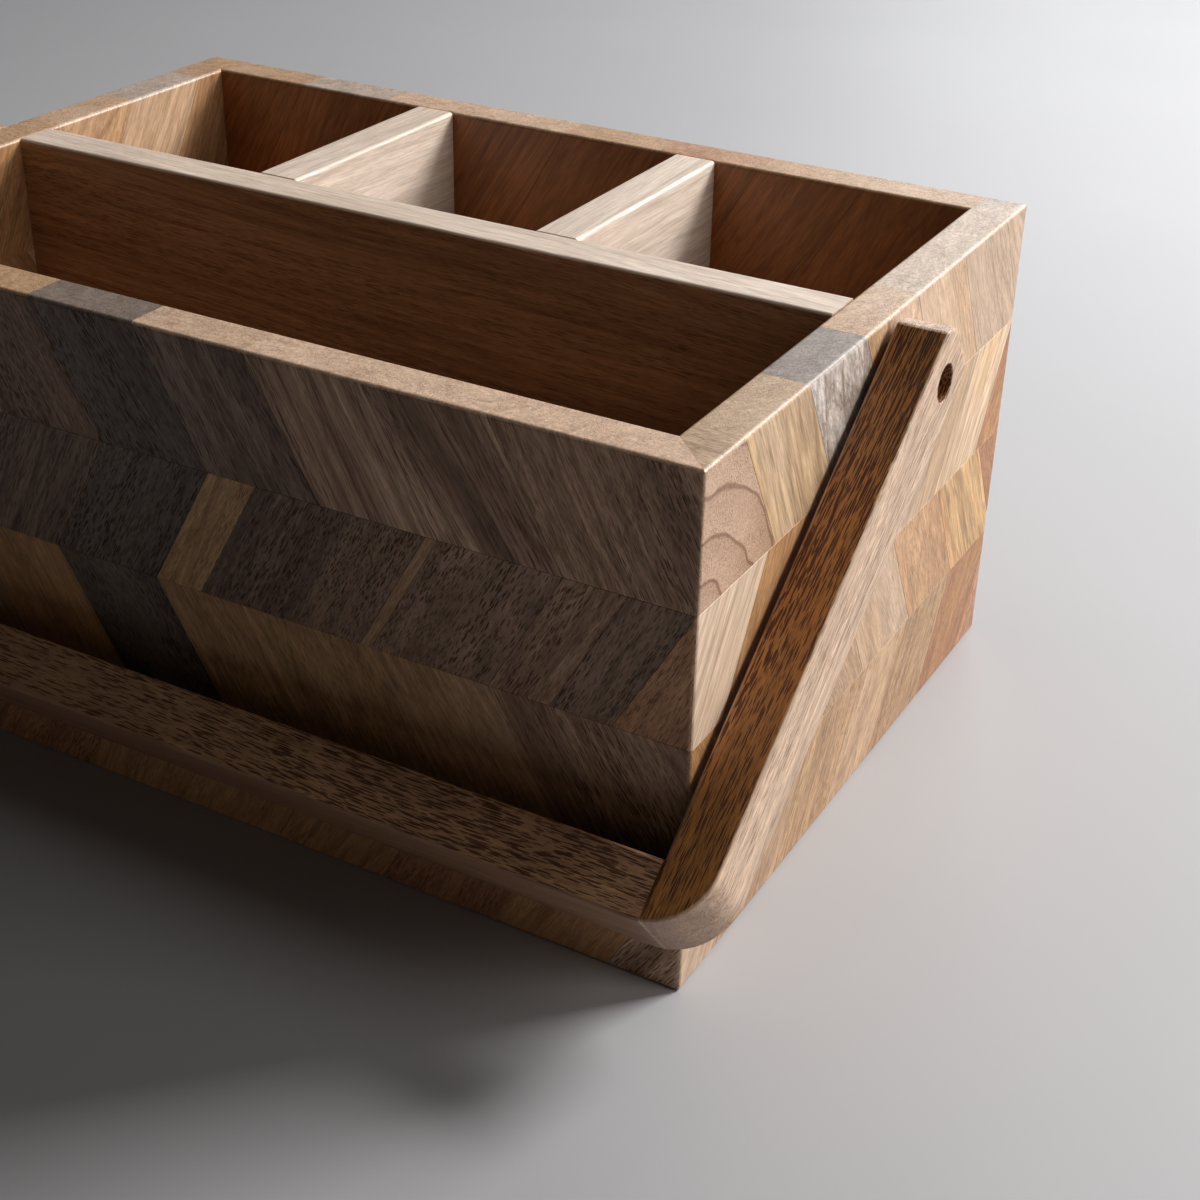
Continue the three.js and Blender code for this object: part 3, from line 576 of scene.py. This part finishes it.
# The last value is how far the inner face leans to the warm dark tone of painted shade inside the box
Wall = namedtuple("Wall", "length place first_joint strips inside_share")
WALLS = {
    "front": Wall(BOX_LENGTH, wall_place(0, BOX_DEPTH / 2), FRONT_FIRST_JOINT, FRONT_STRIPS, 0.2),
    "right": Wall(BOX_DEPTH, wall_place(90, BOX_LENGTH / 2), RIGHT_FIRST_JOINT, RIGHT_STRIPS, 0.2),
    "back": Wall(BOX_LENGTH, wall_place(180, BOX_DEPTH / 2), BACK_FIRST_JOINT, BACK_STRIPS, 0.9),
    "left": Wall(BOX_DEPTH, wall_place(-90, BOX_LENGTH / 2), LEFT_FIRST_JOINT, LEFT_STRIPS, 0.2),
}


def course_section(course):
    """Section of a course as (y, z) points, eased at the rim, foot and joints."""
    top = BOX_HEIGHT - (course - 1) * COURSE_HEIGHT
    bottom = top - COURSE_HEIGHT
    ease = JOINT_EASE
    r = EDGE_RADIUS
    if course == COURSE_COUNT:
        lower = arc((r, r), r, 180, 270)
        lower += [(WALL_THICKNESS - REBATE_DEPTH, 0)]
        lower += [(WALL_THICKNESS - REBATE_DEPTH, BASE_THICKNESS), (WALL_THICKNESS, BASE_THICKNESS)]
    else:
        bottom += JOINT_GAP / 2
        lower = [(0, bottom + ease), (ease, bottom), (WALL_THICKNESS - ease, bottom)]
        lower += [(WALL_THICKNESS, bottom + ease)]
    if course == 1:
        upper = arc((WALL_THICKNESS - r, top - r), r, 0, 90) + arc((r, top - r), r, 90, 180)
    else:
        top -= JOINT_GAP / 2
        upper = [(WALL_THICKNESS, top - ease), (WALL_THICKNESS - ease, top), (ease, top), (0, top - ease)]
    return lower + upper


def mitred_course(wall, course):
    """A whole course with mitred ends and a rounded outer corner at each end."""
    bm = prism(course_section(course), -wall.length / 2, wall.length / 2)
    for end in (1, -1):
        corner = Vector((end * wall.length / 2, 0, 0))
        mitre = Vector((end, 1, 0)).normalized()
        slice_off(bm, corner - mitre * JOINT_GAP / 2, mitre)
        centre = corner + Vector((-end * CORNER_RADIUS, CORNER_RADIUS, 0))
        for i in range(CORNER_PLANES):
            angle = math.radians(45 * (i + 0.5) / CORNER_PLANES)
            normal = Vector((end * math.sin(angle), -math.cos(angle), 0))
            slice_off(bm, centre + normal * CORNER_RADIUS, normal)
    return bm


def joint_places(wall, course):
    """Where the strips of a course meet, along its top edge from the wall's middle, and their kinds."""
    first = wall.first_joint - wall.length / 2
    if course % 2 == 0:
        first += SLANT
    kinds = []
    joints = [first - PITCH]
    for strip in wall.strips[course - 1]:
        kind, width = strip if isinstance(strip, tuple) else (strip, PITCH / MM)
        kinds.append(kind)
        joints.append(joints[-1] + width * MM)
    return joints, kinds


def wall_course(name, wall, course):
    """A course cut into slanted strips, each with its own wood and a fine eased joint."""
    whole = mitred_course(wall, course)
    top = BOX_HEIGHT - (course - 1) * COURSE_HEIGHT
    lean = 1 if course % 2 == 1 else -1
    down = Vector((lean * SLANT, 0, -COURSE_HEIGHT)).normalized()
    across = Vector((COURSE_HEIGHT, 0, lean * SLANT)).normalized()
    bm = bmesh.new()
    add_layers(bm)
    joints, kinds = joint_places(wall, course)
    for index, kind in enumerate(kinds):
        strip = whole.copy()
        layers = add_layers(strip)
        sides = []
        if index > 0:
            sides.append((joints[index], -across))
        if index < len(kinds) - 1:
            sides.append((joints[index + 1], across))
        for joint, normal in sides:
            cut_strip_side(strip, layers[-1], Vector((joint, 0, top)), normal)
        if not strip.faces:
            strip.free()
            continue
        draw = random.Random(f"{name} {index}")
        ring_centre = Vector((RING_CENTRE[0] - wall.length / 2, 0, BOX_HEIGHT + RING_CENTRE[1]))
        paint_wood(strip, layers, kind, down, -Y_AXIS, draw, ring_centre if kind == "ringed" else None)
        # The inner face is painted darker and warmer: painted shade inside the box, strongest on the back
        # wall
        inside = [vert for vert in strip.verts if vert.co.y > WALL_THICKNESS - 2 * JOINT_EASE]
        colour_wood(inside, layers, blend_kinds(KINDS[kind], KINDS["inside"], wall.inside_share), 1.0)
        # The rim's top is painted paler: painted sheen
        rim = [vert for vert in strip.verts if vert.co.z > BOX_HEIGHT - EDGE_RADIUS / 2]
        colour_wood(rim, layers, sheened_rim_kind(kind), 1.0)
        pour(bm, strip)
    whole.free()
    bm.transform(wall.place)
    return bm


def cut_strip_side(strip, glue, joint, normal):
    """Cuts a strip at a joint and eases the cut's edges along its outer and inner face."""
    made = slice_off(strip, joint - normal * JOINT_GAP / 2, normal)
    for face in (-Y_AXIS, Y_AXIS):
        surface = WALL_THICKNESS if face.y > 0 else 0
        edge = Vector((joint.x, surface, joint.z)) - normal * (JOINT_EASE + JOINT_GAP / 2)
        made += slice_off(strip, edge, (normal + face).normalized())
    for face in made:
        if face.is_valid:
            face[glue] = 1


for wall_name, wall in WALLS.items():
    for course in range(1, COURSE_COUNT + 1):
        node = f"{wall_name}_wall_course_{course}"
        place_piece(f"{node}_strips", wall_course(node, wall, course), WALL_WOOD, "caddy", node)


# Dividers


def divider_board(length, height, thickness):
    """A board along X, standing on z = 0, with its top edges eased."""
    half = thickness / 2
    r = EDGE_RADIUS
    section = [(-half, 0), (half, 0)]
    section += arc((half - r, height - r), r, 0, 90) + arc((-half + r, height - r), r, 90, 180)
    return prism(section, -length / 2, length / 2)


def divider(node, axis, face_kind):
    """A divider along an axis, paler on its top edge: a painted sheen there."""
    low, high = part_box(node)
    size = high - low
    length, thickness = (size.x, size.y) if axis == X_AXIS else (size.y, size.x)
    bm = divider_board(length, size.z, thickness)
    layers = add_layers(bm)
    paint_wood(bm, layers, face_kind, X_AXIS, -Y_AXIS, random.Random(node))
    # The top edge is painted paler: painted sheen
    edge = [vert for vert in bm.verts if vert.co.z > size.z - EDGE_RADIUS / 2]
    colour_wood(edge, layers, KINDS["pale_divider_and_top_sheen"], 1.0)
    turn = Matrix() if axis == X_AXIS else Matrix.Rotation(math.pi / 2, 4, "Z")
    middle = (low + high) / 2
    bm.transform(Matrix.Translation((middle.x, middle.y, low.z)) @ turn)
    place_piece(f"{node}_board", bm, DIVIDER_WOOD, "caddy", node)


divider("long_divider", X_AXIS, "divider")
divider("cross_divider_left", Y_AXIS, "pale_divider_and_top_sheen")
divider("cross_divider_right", Y_AXIS, "pale_divider_and_top_sheen")


# Holes


def bore(bm, starts, direction, rings):
    """Opens alike stepped round holes right through a board, from rings of (depth, radius)."""
    side = direction.orthogonal().normalized()
    up = direction.cross(side)
    turns = [2 * math.pi * i / BORE_STEPS for i in range(BORE_STEPS)]
    near_loops = []
    far_loops = []
    for start in starts:
        loops = []
        for depth, radius in rings:
            centre = start + direction * depth
            spokes = [side * math.cos(a) + up * math.sin(a) for a in turns]
            loops.append([bm.verts.new(centre + spoke * radius) for spoke in spokes])
        for near, far in zip(loops, loops[1:]):
            for i in range(BORE_STEPS):
                bm.faces.new((near[i - 1], near[i], far[i], far[i - 1]))
        near_loops.append(loops[0])
        far_loops.append(loops[-1])
    open_face(bm, starts[0], direction, near_loops)
    open_face(bm, starts[0] + direction * rings[-1][0], direction, far_loops)


FACING = 0.99


def open_face(bm, point, direction, loops):
    """Replaces the flat face at a point by one with round openings."""
    bm.faces.ensure_lookup_table()
    found = None
    for face in bm.faces:
        across = abs(face.normal.dot(direction)) > FACING and len(face.verts) != BORE_STEPS
        level = abs((point - face.verts[0].co).dot(direction)) < PLANE_SEARCH
        if across and level and bmesh.geometry.intersect_face_point(face, point):
            found = face
    edges = found.edges[:]
    for loop in loops:
        edges += [bm.edges.get((loop[i - 1], loop[i])) for i in range(len(loop))]
    bm.faces.remove(found)
    bmesh.ops.triangle_fill(bm, edges=edges, use_beauty=True)


# Base panel, edge-glued from planks that run along X and countersunk from below for its screws

PLANK_COUNT = 5
BASE_SCREW_RADIUS = 1.5 * MM
BASE_SCREW_HEAD_RADIUS = 3 * MM
BASE_SCREW_RECESS = 0.3 * MM
BASE_SCREW_CLEARANCE = 0.3 * MM
BASE_SCREW_CONE = BASE_SCREW_HEAD_RADIUS - BASE_SCREW_RADIUS


def middle_of(node):
    """The middle of a node's box."""
    low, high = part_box(node)
    return (low + high) / 2


BASE_SCREWS = {name: middle_of(name) for name in frame["nodes"] if name.startswith("base_screw")}


def countersink(plank, low, high):
    """Opens the screw holes that lie between two y values."""
    starts = [Vector((p.x, p.y, BASE_LOW.z)) for p in BASE_SCREWS.values() if low < p.y < high]
    if not starts:
        return
    head = BASE_SCREW_HEAD_RADIUS + BASE_SCREW_CLEARANCE
    shank = BASE_SCREW_RADIUS + BASE_SCREW_CLEARANCE
    rings = [(0, head), (BASE_SCREW_RECESS, head), (BASE_SCREW_RECESS + BASE_SCREW_CONE, shank)]
    bore(plank, starts, Z_AXIS, rings + [(BASE_THICKNESS, shank)])


def base_panel():
    """The planks, with fine eased joints between them."""
    section = [(BASE_LOW.y, BASE_LOW.z), (BASE_HIGH.y, BASE_LOW.z)]
    section += [(BASE_HIGH.y, BASE_HIGH.z), (BASE_LOW.y, BASE_HIGH.z)]
    whole = prism(section, BASE_LOW.x, BASE_HIGH.x)
    width = (BASE_HIGH.y - BASE_LOW.y) / PLANK_COUNT
    bm = bmesh.new()
    add_layers(bm)
    for index in range(PLANK_COUNT):
        plank = whole.copy()
        start = BASE_LOW.y + index * width
        sides = []
        if index > 0:
            sides.append((start, -Y_AXIS))
        if index < PLANK_COUNT - 1:
            sides.append((start + width, Y_AXIS))
        for place, normal in sides:
            slice_off(plank, Vector((0, place, 0)) - normal * JOINT_GAP / 2, normal)
            for face, level in ((Z_AXIS, BASE_HIGH.z), (-Z_AXIS, BASE_LOW.z)):
                edge = Vector((0, place, level)) - normal * (JOINT_EASE + JOINT_GAP / 2)
                slice_off(plank, edge, (normal + face).normalized())
        bmesh.ops.recalc_face_normals(plank, faces=plank.faces)
        countersink(plank, start, start + width)
        layers = add_layers(plank)
        paint_wood(plank, layers, "plank", X_AXIS, Z_AXIS, random.Random(f"plank {index}"))
        pour(bm, plank)
    whole.free()
    return bm


place_piece("base_panel_planks", base_panel(), BASE_WOOD, "caddy", "base_panel")


# Handle


def bail_arc(start, end):
    """Part of the right outer corner of the bail in plan, angles in degrees from the arm's outer face."""
    centre = (ARM_OUTER_X - BAIL_RADIUS, -HANDLE_REACH + BAIL_RADIUS)
    return arc(centre, BAIL_RADIUS, -start, -end, max(2, round(BAIL_STEPS * (end - start) / 90)))


def upright_prism(plan, height):
    """A closed prism about z = 0 from a plan of (x, y) points."""
    bm = bmesh.new()
    low = [bm.verts.new((x, y, -height / 2)) for x, y in plan]
    high = [bm.verts.new((x, y, height / 2)) for x, y in plan]
    bm.faces.new(low)
    bm.faces.new(high[::-1])
    for i in range(len(plan)):
        bm.faces.new((low[i - 1], high[i - 1], high[i], low[i]))
    bmesh.ops.recalc_face_normals(bm, faces=bm.faces)
    return bm


def sharp_edges(bm, kept):
    """Edges where faces meet at a clear angle, apart from those that a test keeps as they are."""
    edges = [edge for edge in bm.edges if edge.calc_face_angle(0) > SHARP_ANGLE]
    return [edge for edge in edges if not kept((edge.verts[0].co + edge.verts[1].co) / 2)]


def round_edges(bm, edges):
    """Rounds edges to the handle's edge radius."""
    shape = {"offset": HANDLE_EDGE, "segments": HANDLE_EDGE_STEPS, "profile": 0.5}
    bmesh.ops.bevel(bm, geom=edges, affect="EDGES", clamp_overlap=True, **shape)


def handle_arm(side):
    """An arm, built as the right one, with its recess and screw hole."""
    sign = 1 if side == "right" else -1
    plan = [(ARM_INNER_X, ARM_PAST_PIVOT), (ARM_OUTER_X, ARM_PAST_PIVOT)] + bail_arc(0, BAIL_JOINT_ANGLE)
    bm = upright_prism(plan, ARM_DEPTH)
    for face in (1, -1):
        corner = Vector((0, ARM_PAST_PIVOT - ARM_CLIP, face * ARM_DEPTH / 2))
        slice_off(bm, corner, Vector((0, 1, face)).normalized())
    geometry = bm.verts[:] + bm.edges[:] + bm.faces[:]
    bar_line = Vector((0, -CROSSBAR_REACH, 0))
    bmesh.ops.bisect_plane(bm, geom=geometry, dist=PLANE_TOLERANCE, plane_co=bar_line, plane_no=Y_AXIS)

    def at_joint(middle):
        return middle.x < ARM_INNER_X + PLANE_SEARCH and middle.y < -CROSSBAR_REACH

    round_edges(bm, sharp_edges(bm, at_joint))
    bmesh.ops.recalc_face_normals(bm, faces=bm.faces)
    thickness = ARM_OUTER_X - ARM_INNER_X
    rings = [(0, RECESS_RADIUS + RECESS_EASE), (RECESS_EASE, RECESS_RADIUS)]
    rings += [(thickness - RECESS_FLOOR, RECESS_RADIUS), (thickness - RECESS_FLOOR, SCREW_HOLE_RADIUS)]
    rings += [(thickness, SCREW_HOLE_RADIUS)]
    bore(bm, [Vector((ARM_OUTER_X, 0, 0))], -X_AXIS, rings)
    finish_handle_piece(bm, f"handle_arm_{side}", "arm", sign, -Y_AXIS, X_AXIS)


def crossbar():
    """The bar between the arms, with its share of the bail's rounded corners."""
    plan = [(ARM_INNER_X - JOINT_GAP, -CROSSBAR_REACH)] + bail_arc(BAIL_JOINT_ANGLE, 90)
    plan[1] = (plan[0][0], plan[1][1])
    plan += [(-x, y) for x, y in plan[::-1]]
    bm = upright_prism(plan, ARM_DEPTH)

    def at_joint(middle):
        return abs(middle.x) > ARM_INNER_X - 2 * JOINT_GAP

    round_edges(bm, sharp_edges(bm, at_joint))
    finish_handle_piece(bm, "handle_crossbar", "crossbar", 1, X_AXIS, Z_AXIS)


def paint_arm_light_and_shade(bm, layers):
    """Pale sides, turning brown round the bail's corner: painted light on the sides and painted shade round
    the corner; the sides' finer pores are the cut's own. The pivot's recess stays dark as painted shade.
    """
    for vert in bm.verts:
        x, y, z = vert.co
        # The recess keeps the brown tone of the arm's broad faces: painted shade in the recess
        in_shaded_recess = math.hypot(y, z) < RECESS_RADIUS + RECESS_EASE / 2
        if in_shaded_recess or abs(z) > ARM_DEPTH / 2 - PLANE_SEARCH:
            continue
        turn = math.atan2(BAIL_RADIUS - HANDLE_REACH - y, x - ARM_OUTER_X + BAIL_RADIUS)
        share = 0
        if x > ARM_INNER_X + PLANE_SEARCH:
            share = min(max(math.degrees(turn) / BAIL_JOINT_ANGLE, 0), 1)
        colour_wood([vert], layers, blend_kinds(KINDS["arm_side"], KINDS["bail_front"], share), 1.0)


def on_bar_front(place):
    """Whether a point lies on the crossbar's front, its rounded ends included."""
    return place.y < -CROSSBAR_REACH - HANDLE_EDGE and abs(place.z) < ARM_DEPTH / 2 - PLANE_SEARCH


def finish_handle_piece(bm, node, kind, sign, along, face):
    """Paints a piece of the handle and lets it down to its rest."""
    layers = add_layers(bm)
    paint_wood(bm, layers, kind, along, face, random.Random(node))
    if kind == "arm":
        paint_arm_light_and_shade(bm, layers)
    else:
        colour_wood([v for v in bm.verts if on_bar_front(v.co)], layers, KINDS["bail_front"], 1.0)
    bm.transform(HANDLE_PLACE @ Matrix.Diagonal((sign, 1, 1, 1)))
    bmesh.ops.recalc_face_normals(bm, faces=bm.faces)
    place_piece(f"{node}_board", bm, HANDLE_WOOD, "handle", node)


handle_arm("left")
handle_arm("right")
crossbar()


# Fasteners, turned about X

TURN_STEPS = 72
EDGE_BREAK = 0.12 * MM
PIVOT_HEAD_RADIUS = 4.25 * MM
PIVOT_HEAD_HEIGHT = 2.8 * MM
PIVOT_HEAD_EDGE = 0.5 * MM
PIVOT_SCREW_RADIUS = 2.5 * MM
SOCKET_ACROSS_FLATS = 3 * MM
SOCKET_DEPTH = 1.8 * MM
MACHINE_PITCH = 0.8 * MM
MACHINE_THREAD = 0.4 * MM
WOOD_PITCH = 1.35 * MM
WOOD_THREAD = 0.4 * MM
WOOD_THREAD_START = 4 * MM
CROSS_WIDTH = 0.9 * MM
CROSS_SPAN = 3.4 * MM
CROSS_DEPTH = 1.2 * MM
INSERT_PITCH = 2 * MM
INSERT_THREAD = 0.5 * MM
NEARLY_ZERO = 1e-6


def turned(profile):
    """A solid turned about X from (x, radius) points. It closes on the axis, or round a bore where no point
    lies on the axis. A radius may be a function of the angle."""
    bm = bmesh.new()
    turns = [2 * math.pi * i / TURN_STEPS for i in range(TURN_STEPS)]
    loops = []
    for x, radius in profile:
        if radius == 0:
            loops.append([bm.verts.new((x, 0, 0))] * TURN_STEPS)
            continue
        reach = [radius(a) if callable(radius) else radius for a in turns]
        loops.append([bm.verts.new((x, r * math.cos(a), r * math.sin(a))) for r, a in zip(reach, turns)])
    if profile[0][1] != 0:
        loops.append(loops[0])
    for near, far in zip(loops, loops[1:]):
        for i in range(TURN_STEPS):
            corners = dict.fromkeys((near[i - 1], near[i], far[i], far[i - 1]))
            bm.faces.new(list(corners))
    bmesh.ops.recalc_face_normals(bm, faces=bm.faces)
    return bm


def hexagon(across_flats):
    """Radius of a hexagon as a function of the angle."""
    return lambda a: across_flats / 2 / math.cos((a + math.pi / 6) % (math.pi / 3) - math.pi / 6)


def cross_shape(width, span):
    """Radius of an upright cross as a function of the angle."""

    def bar(along, aside):
        reach = span / 2 / max(abs(along), NEARLY_ZERO)
        return min(reach, width / 2 / max(abs(aside), NEARLY_ZERO))

    return lambda a: max(bar(math.cos(a), math.sin(a)), bar(math.sin(a), math.cos(a)))


def thread(start, end, radius, pitch, depth):
    """Profile points of the ridges between two x values, whichever comes first."""
    count = int(abs(end - start) / pitch)
    step = pitch if end > start else -pitch
    points = []
    for i in range(count):
        points += [(start + step * i, radius), (start + step * (i + 0.5), radius - depth)]
    return points


def pivot_screw(tip, top, wall_face):
    """A socket screw that points inward, in a side's own frame."""
    head = top - PIVOT_HEAD_HEIGHT
    shank = PIVOT_SCREW_RADIUS
    profile = [(tip, 0), (tip, shank - MACHINE_THREAD)]
    profile += thread(tip + MACHINE_PITCH / 2, wall_face, shank, MACHINE_PITCH, MACHINE_THREAD)
    profile += [(wall_face, shank), (head, shank), (head, PIVOT_HEAD_RADIUS - EDGE_BREAK)]
    profile += [(head + EDGE_BREAK, PIVOT_HEAD_RADIUS)]
    profile += arc((top - PIVOT_HEAD_EDGE, PIVOT_HEAD_RADIUS - PIVOT_HEAD_EDGE), PIVOT_HEAD_EDGE, 90, 0)
    profile += [(top, hexagon(SOCKET_ACROSS_FLATS + 2 * EDGE_BREAK))]
    profile += [(top - EDGE_BREAK, hexagon(SOCKET_ACROSS_FLATS))]
    profile += [(top - SOCKET_DEPTH, hexagon(SOCKET_ACROSS_FLATS)), (top - SOCKET_DEPTH - 2 * EDGE_BREAK, 0)]
    return turned(profile)


def washer(start, end, radius, bore_radius):
    """A washer with broken edges."""
    profile = [(start, bore_radius), (start, radius - EDGE_BREAK), (start + EDGE_BREAK, radius)]
    profile += [(end - EDGE_BREAK, radius), (end, radius - EDGE_BREAK), (end, bore_radius)]
    return turned(profile)


def threaded_insert(start, end, radius, bore_radius):
    """A bored insert with a coarse outer thread."""
    profile = [(start, bore_radius), (start, radius - INSERT_THREAD)]
    profile += thread(start + INSERT_PITCH / 4, end - INSERT_PITCH / 4, radius, INSERT_PITCH, INSERT_THREAD)
    return turned(profile + [(end, radius - INSERT_THREAD), (end, bore_radius)])


def base_screw(length):
    """A countersunk screw with a cross recess, from its head at x = 0."""
    shank = BASE_SCREW_RADIUS
    point = length - 2 * shank
    profile = [(CROSS_DEPTH, 0), (CROSS_DEPTH, cross_shape(CROSS_WIDTH / 2, CROSS_SPAN / 2))]
    profile += [(0, cross_shape(CROSS_WIDTH, CROSS_SPAN)), (0, BASE_SCREW_HEAD_RADIUS)]
    profile += [(BASE_SCREW_CONE, shank)]
    profile += thread(WOOD_THREAD_START, point, shank, WOOD_PITCH, WOOD_THREAD)
    return turned(profile + [(point, shank), (length, 0)])


def pivot_hardware(side, turn):
    """The screw, washers and insert of one side, in a frame whose x runs outward from the end wall."""
    place = Matrix.Translation(PIVOT) @ Matrix.Rotation(turn, 4, "Z")
    wall_face = BOX_LENGTH / 2

    def span(node):
        low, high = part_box(f"{node}_{side}")
        return min(abs(low.x), abs(high.x)), max(abs(low.x), abs(high.x)), (high.z - low.z) / 2

    start, end, _ = span("pivot_screw")
    made = {"pivot_screw": pivot_screw(start, end, wall_face)}
    for node in ("head_washer", "spacer_washer"):
        made[node] = washer(*span(node), SCREW_HOLE_RADIUS)
    made["threaded_insert"] = threaded_insert(*span("threaded_insert"), PIVOT_SCREW_RADIUS)
    for node, bm in made.items():
        bm.transform(place)
        material, slot = (BRASS, "brass") if node == "threaded_insert" else (STEEL, "steel")
        name = f"{node}_{side}"
        place_piece(f"{name}_turned", bm, material, "caddy", name)


pivot_hardware("right", 0)
pivot_hardware("left", math.pi)
for name, middle in BASE_SCREWS.items():
    low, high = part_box(name)
    bm = base_screw(high.z - low.z)
    bm.transform(Matrix.Translation((middle.x, middle.y, low.z)) @ Matrix.Rotation(-math.pi / 2, 4, "Y"))
    place_piece(f"{name}_turned", bm, STEEL, "caddy", name)


# Joinery that keeps the frame's own shape

BEECH_COLOUR = (206, 168, 116)
BEECH_STRETCH = {"x": (60, 900, 900), "y": (900, 60, 900), "z": (900, 900, 60)}
BEECH = {axis: plain_wood(f"beech_along_{axis}", BEECH_COLOUR, s) for axis, s in BEECH_STRETCH.items()}
for name, node in frame["nodes"].items():
    if "dowel" in name:
        node.data.materials[0] = BEECH["y" if name.startswith("cross") else "x"]
    elif "spline" in name:
        node.data.materials[0] = BEECH["z"]


# Floor, light and camera

FLOOR_REACH = 6.0
FLOOR_DARK = (0.43, 0.43, 0.445, 1)
FLOOR_LIGHT = (0.48, 0.48, 0.495, 1)
FLOOR_CLOUD_RATE = (5, 5, 5)
FLOOR_ROUGHNESS = 0.5


def floor():
    """A wide plain floor with a faint cloudiness."""
    mesh = bpy.data.meshes.new("floor")
    corners = [(-FLOOR_REACH, -FLOOR_REACH, 0), (FLOOR_REACH, -FLOOR_REACH, 0)]
    corners += [(FLOOR_REACH, FLOOR_REACH, 0), (-FLOOR_REACH, FLOOR_REACH, 0)]
    mesh.from_pydata(corners, [], [(0, 1, 2, 3)])
    graph = Graph("pale_floor")
    place = graph.node("ShaderNodeTexCoord", {}).outputs["Object"]
    cloud = graph.noise(place, FLOOR_CLOUD_RATE, detail=3)
    graph.set(Base_Color=graph.mix(cloud, FLOOR_DARK, FLOOR_LIGHT), Roughness=FLOOR_ROUGHNESS)
    mesh.materials.append(graph.material)
    piece = bpy.data.objects.new("floor", mesh)
    bpy.context.scene.collection.objects.link(piece)


# Area lights: position and target in metres, width and height in metres, power in watts, colour
Light = namedtuple("Light", "position target width height power colour")
LIGHTS = {
    "key": Light((0.95, 1.20, 1.10), (0, 0, 0.05), 0.7, 0.7, 43, (1.0, 0.98, 0.96)),
    "back": Light((0.1, 1.8, 0.75), (0, 0, 0.1), 1.5, 0.9, 13, (0.93, 0.965, 1.0)),
    "side": Light((1.6, 0.2, 0.85), (0, 0, 0.1), 0.9, 0.9, 8, (1.0, 0.98, 0.95)),
    "front": Light((0.45, -1.2, 0.42), (0.05, 0, 0.05), 0.8, 0.5, 0.40, (1.0, 0.90, 0.80)),
}
ROOM_COLOUR = (1.0, 0.92, 0.84, 1)
ROOM_STRENGTH = 0.018


def area_light(name, light):
    """A soft rectangular light that faces its target."""
    data = bpy.data.lights.new(name, "AREA")
    data.shape = "RECTANGLE"
    data.size = light.width
    data.size_y = light.height
    data.energy = light.power
    data.color = light.colour
    piece = bpy.data.objects.new(name, data)
    piece.location = light.position
    aim = Vector(light.target) - Vector(light.position)
    piece.rotation_euler = aim.to_track_quat("-Z", "Y").to_euler()
    bpy.context.scene.collection.objects.link(piece)


def world_light(colour, strength):
    """Even light from all round."""
    world = bpy.data.worlds.new("soft_room")
    world.use_nodes = True
    background = world.node_tree.nodes["Background"]
    background.inputs["Color"].default_value = colour
    background.inputs["Strength"].default_value = strength
    bpy.context.scene.world = world


# The camera stands where the photograph was taken from
CAMERA_AZIMUTH = math.radians(28.85)
CAMERA_ELEVATION = math.radians(29.79)
CAMERA_ROLL = math.radians(1.285)
CAMERA_PLACE = Vector((311.9, -442.7, 325.7)) * MM
CAMERA_LENS = 59.16
CAMERA_SENSOR = 36


def camera():
    """The scene's camera, aimed by its angles."""
    data = bpy.data.cameras.new("camera")
    data.sensor_width = CAMERA_SENSOR
    data.lens = CAMERA_LENS
    level = math.cos(CAMERA_ELEVATION)
    forward = Vector((-math.sin(CAMERA_AZIMUTH) * level, math.cos(CAMERA_AZIMUTH) * level, 0))
    forward.z = -math.sin(CAMERA_ELEVATION)
    right = Vector((math.cos(CAMERA_AZIMUTH), math.sin(CAMERA_AZIMUTH), 0))
    up = right.cross(forward)
    rolled_right = right * math.cos(CAMERA_ROLL) + up * math.sin(CAMERA_ROLL)
    rolled_up = up * math.cos(CAMERA_ROLL) - right * math.sin(CAMERA_ROLL)
    turn = Matrix((rolled_right, rolled_up, -forward)).transposed().to_4x4()
    piece = bpy.data.objects.new("camera", data)
    piece.matrix_world = Matrix.Translation(CAMERA_PLACE) @ turn
    bpy.context.scene.collection.objects.link(piece)
    bpy.context.scene.camera = piece


floor()
for light_name, light in LIGHTS.items():
    area_light(light_name, light)
world_light(ROOM_COLOUR, ROOM_STRENGTH)
bpy.context.scene.view_settings.view_transform = "Standard"
camera()
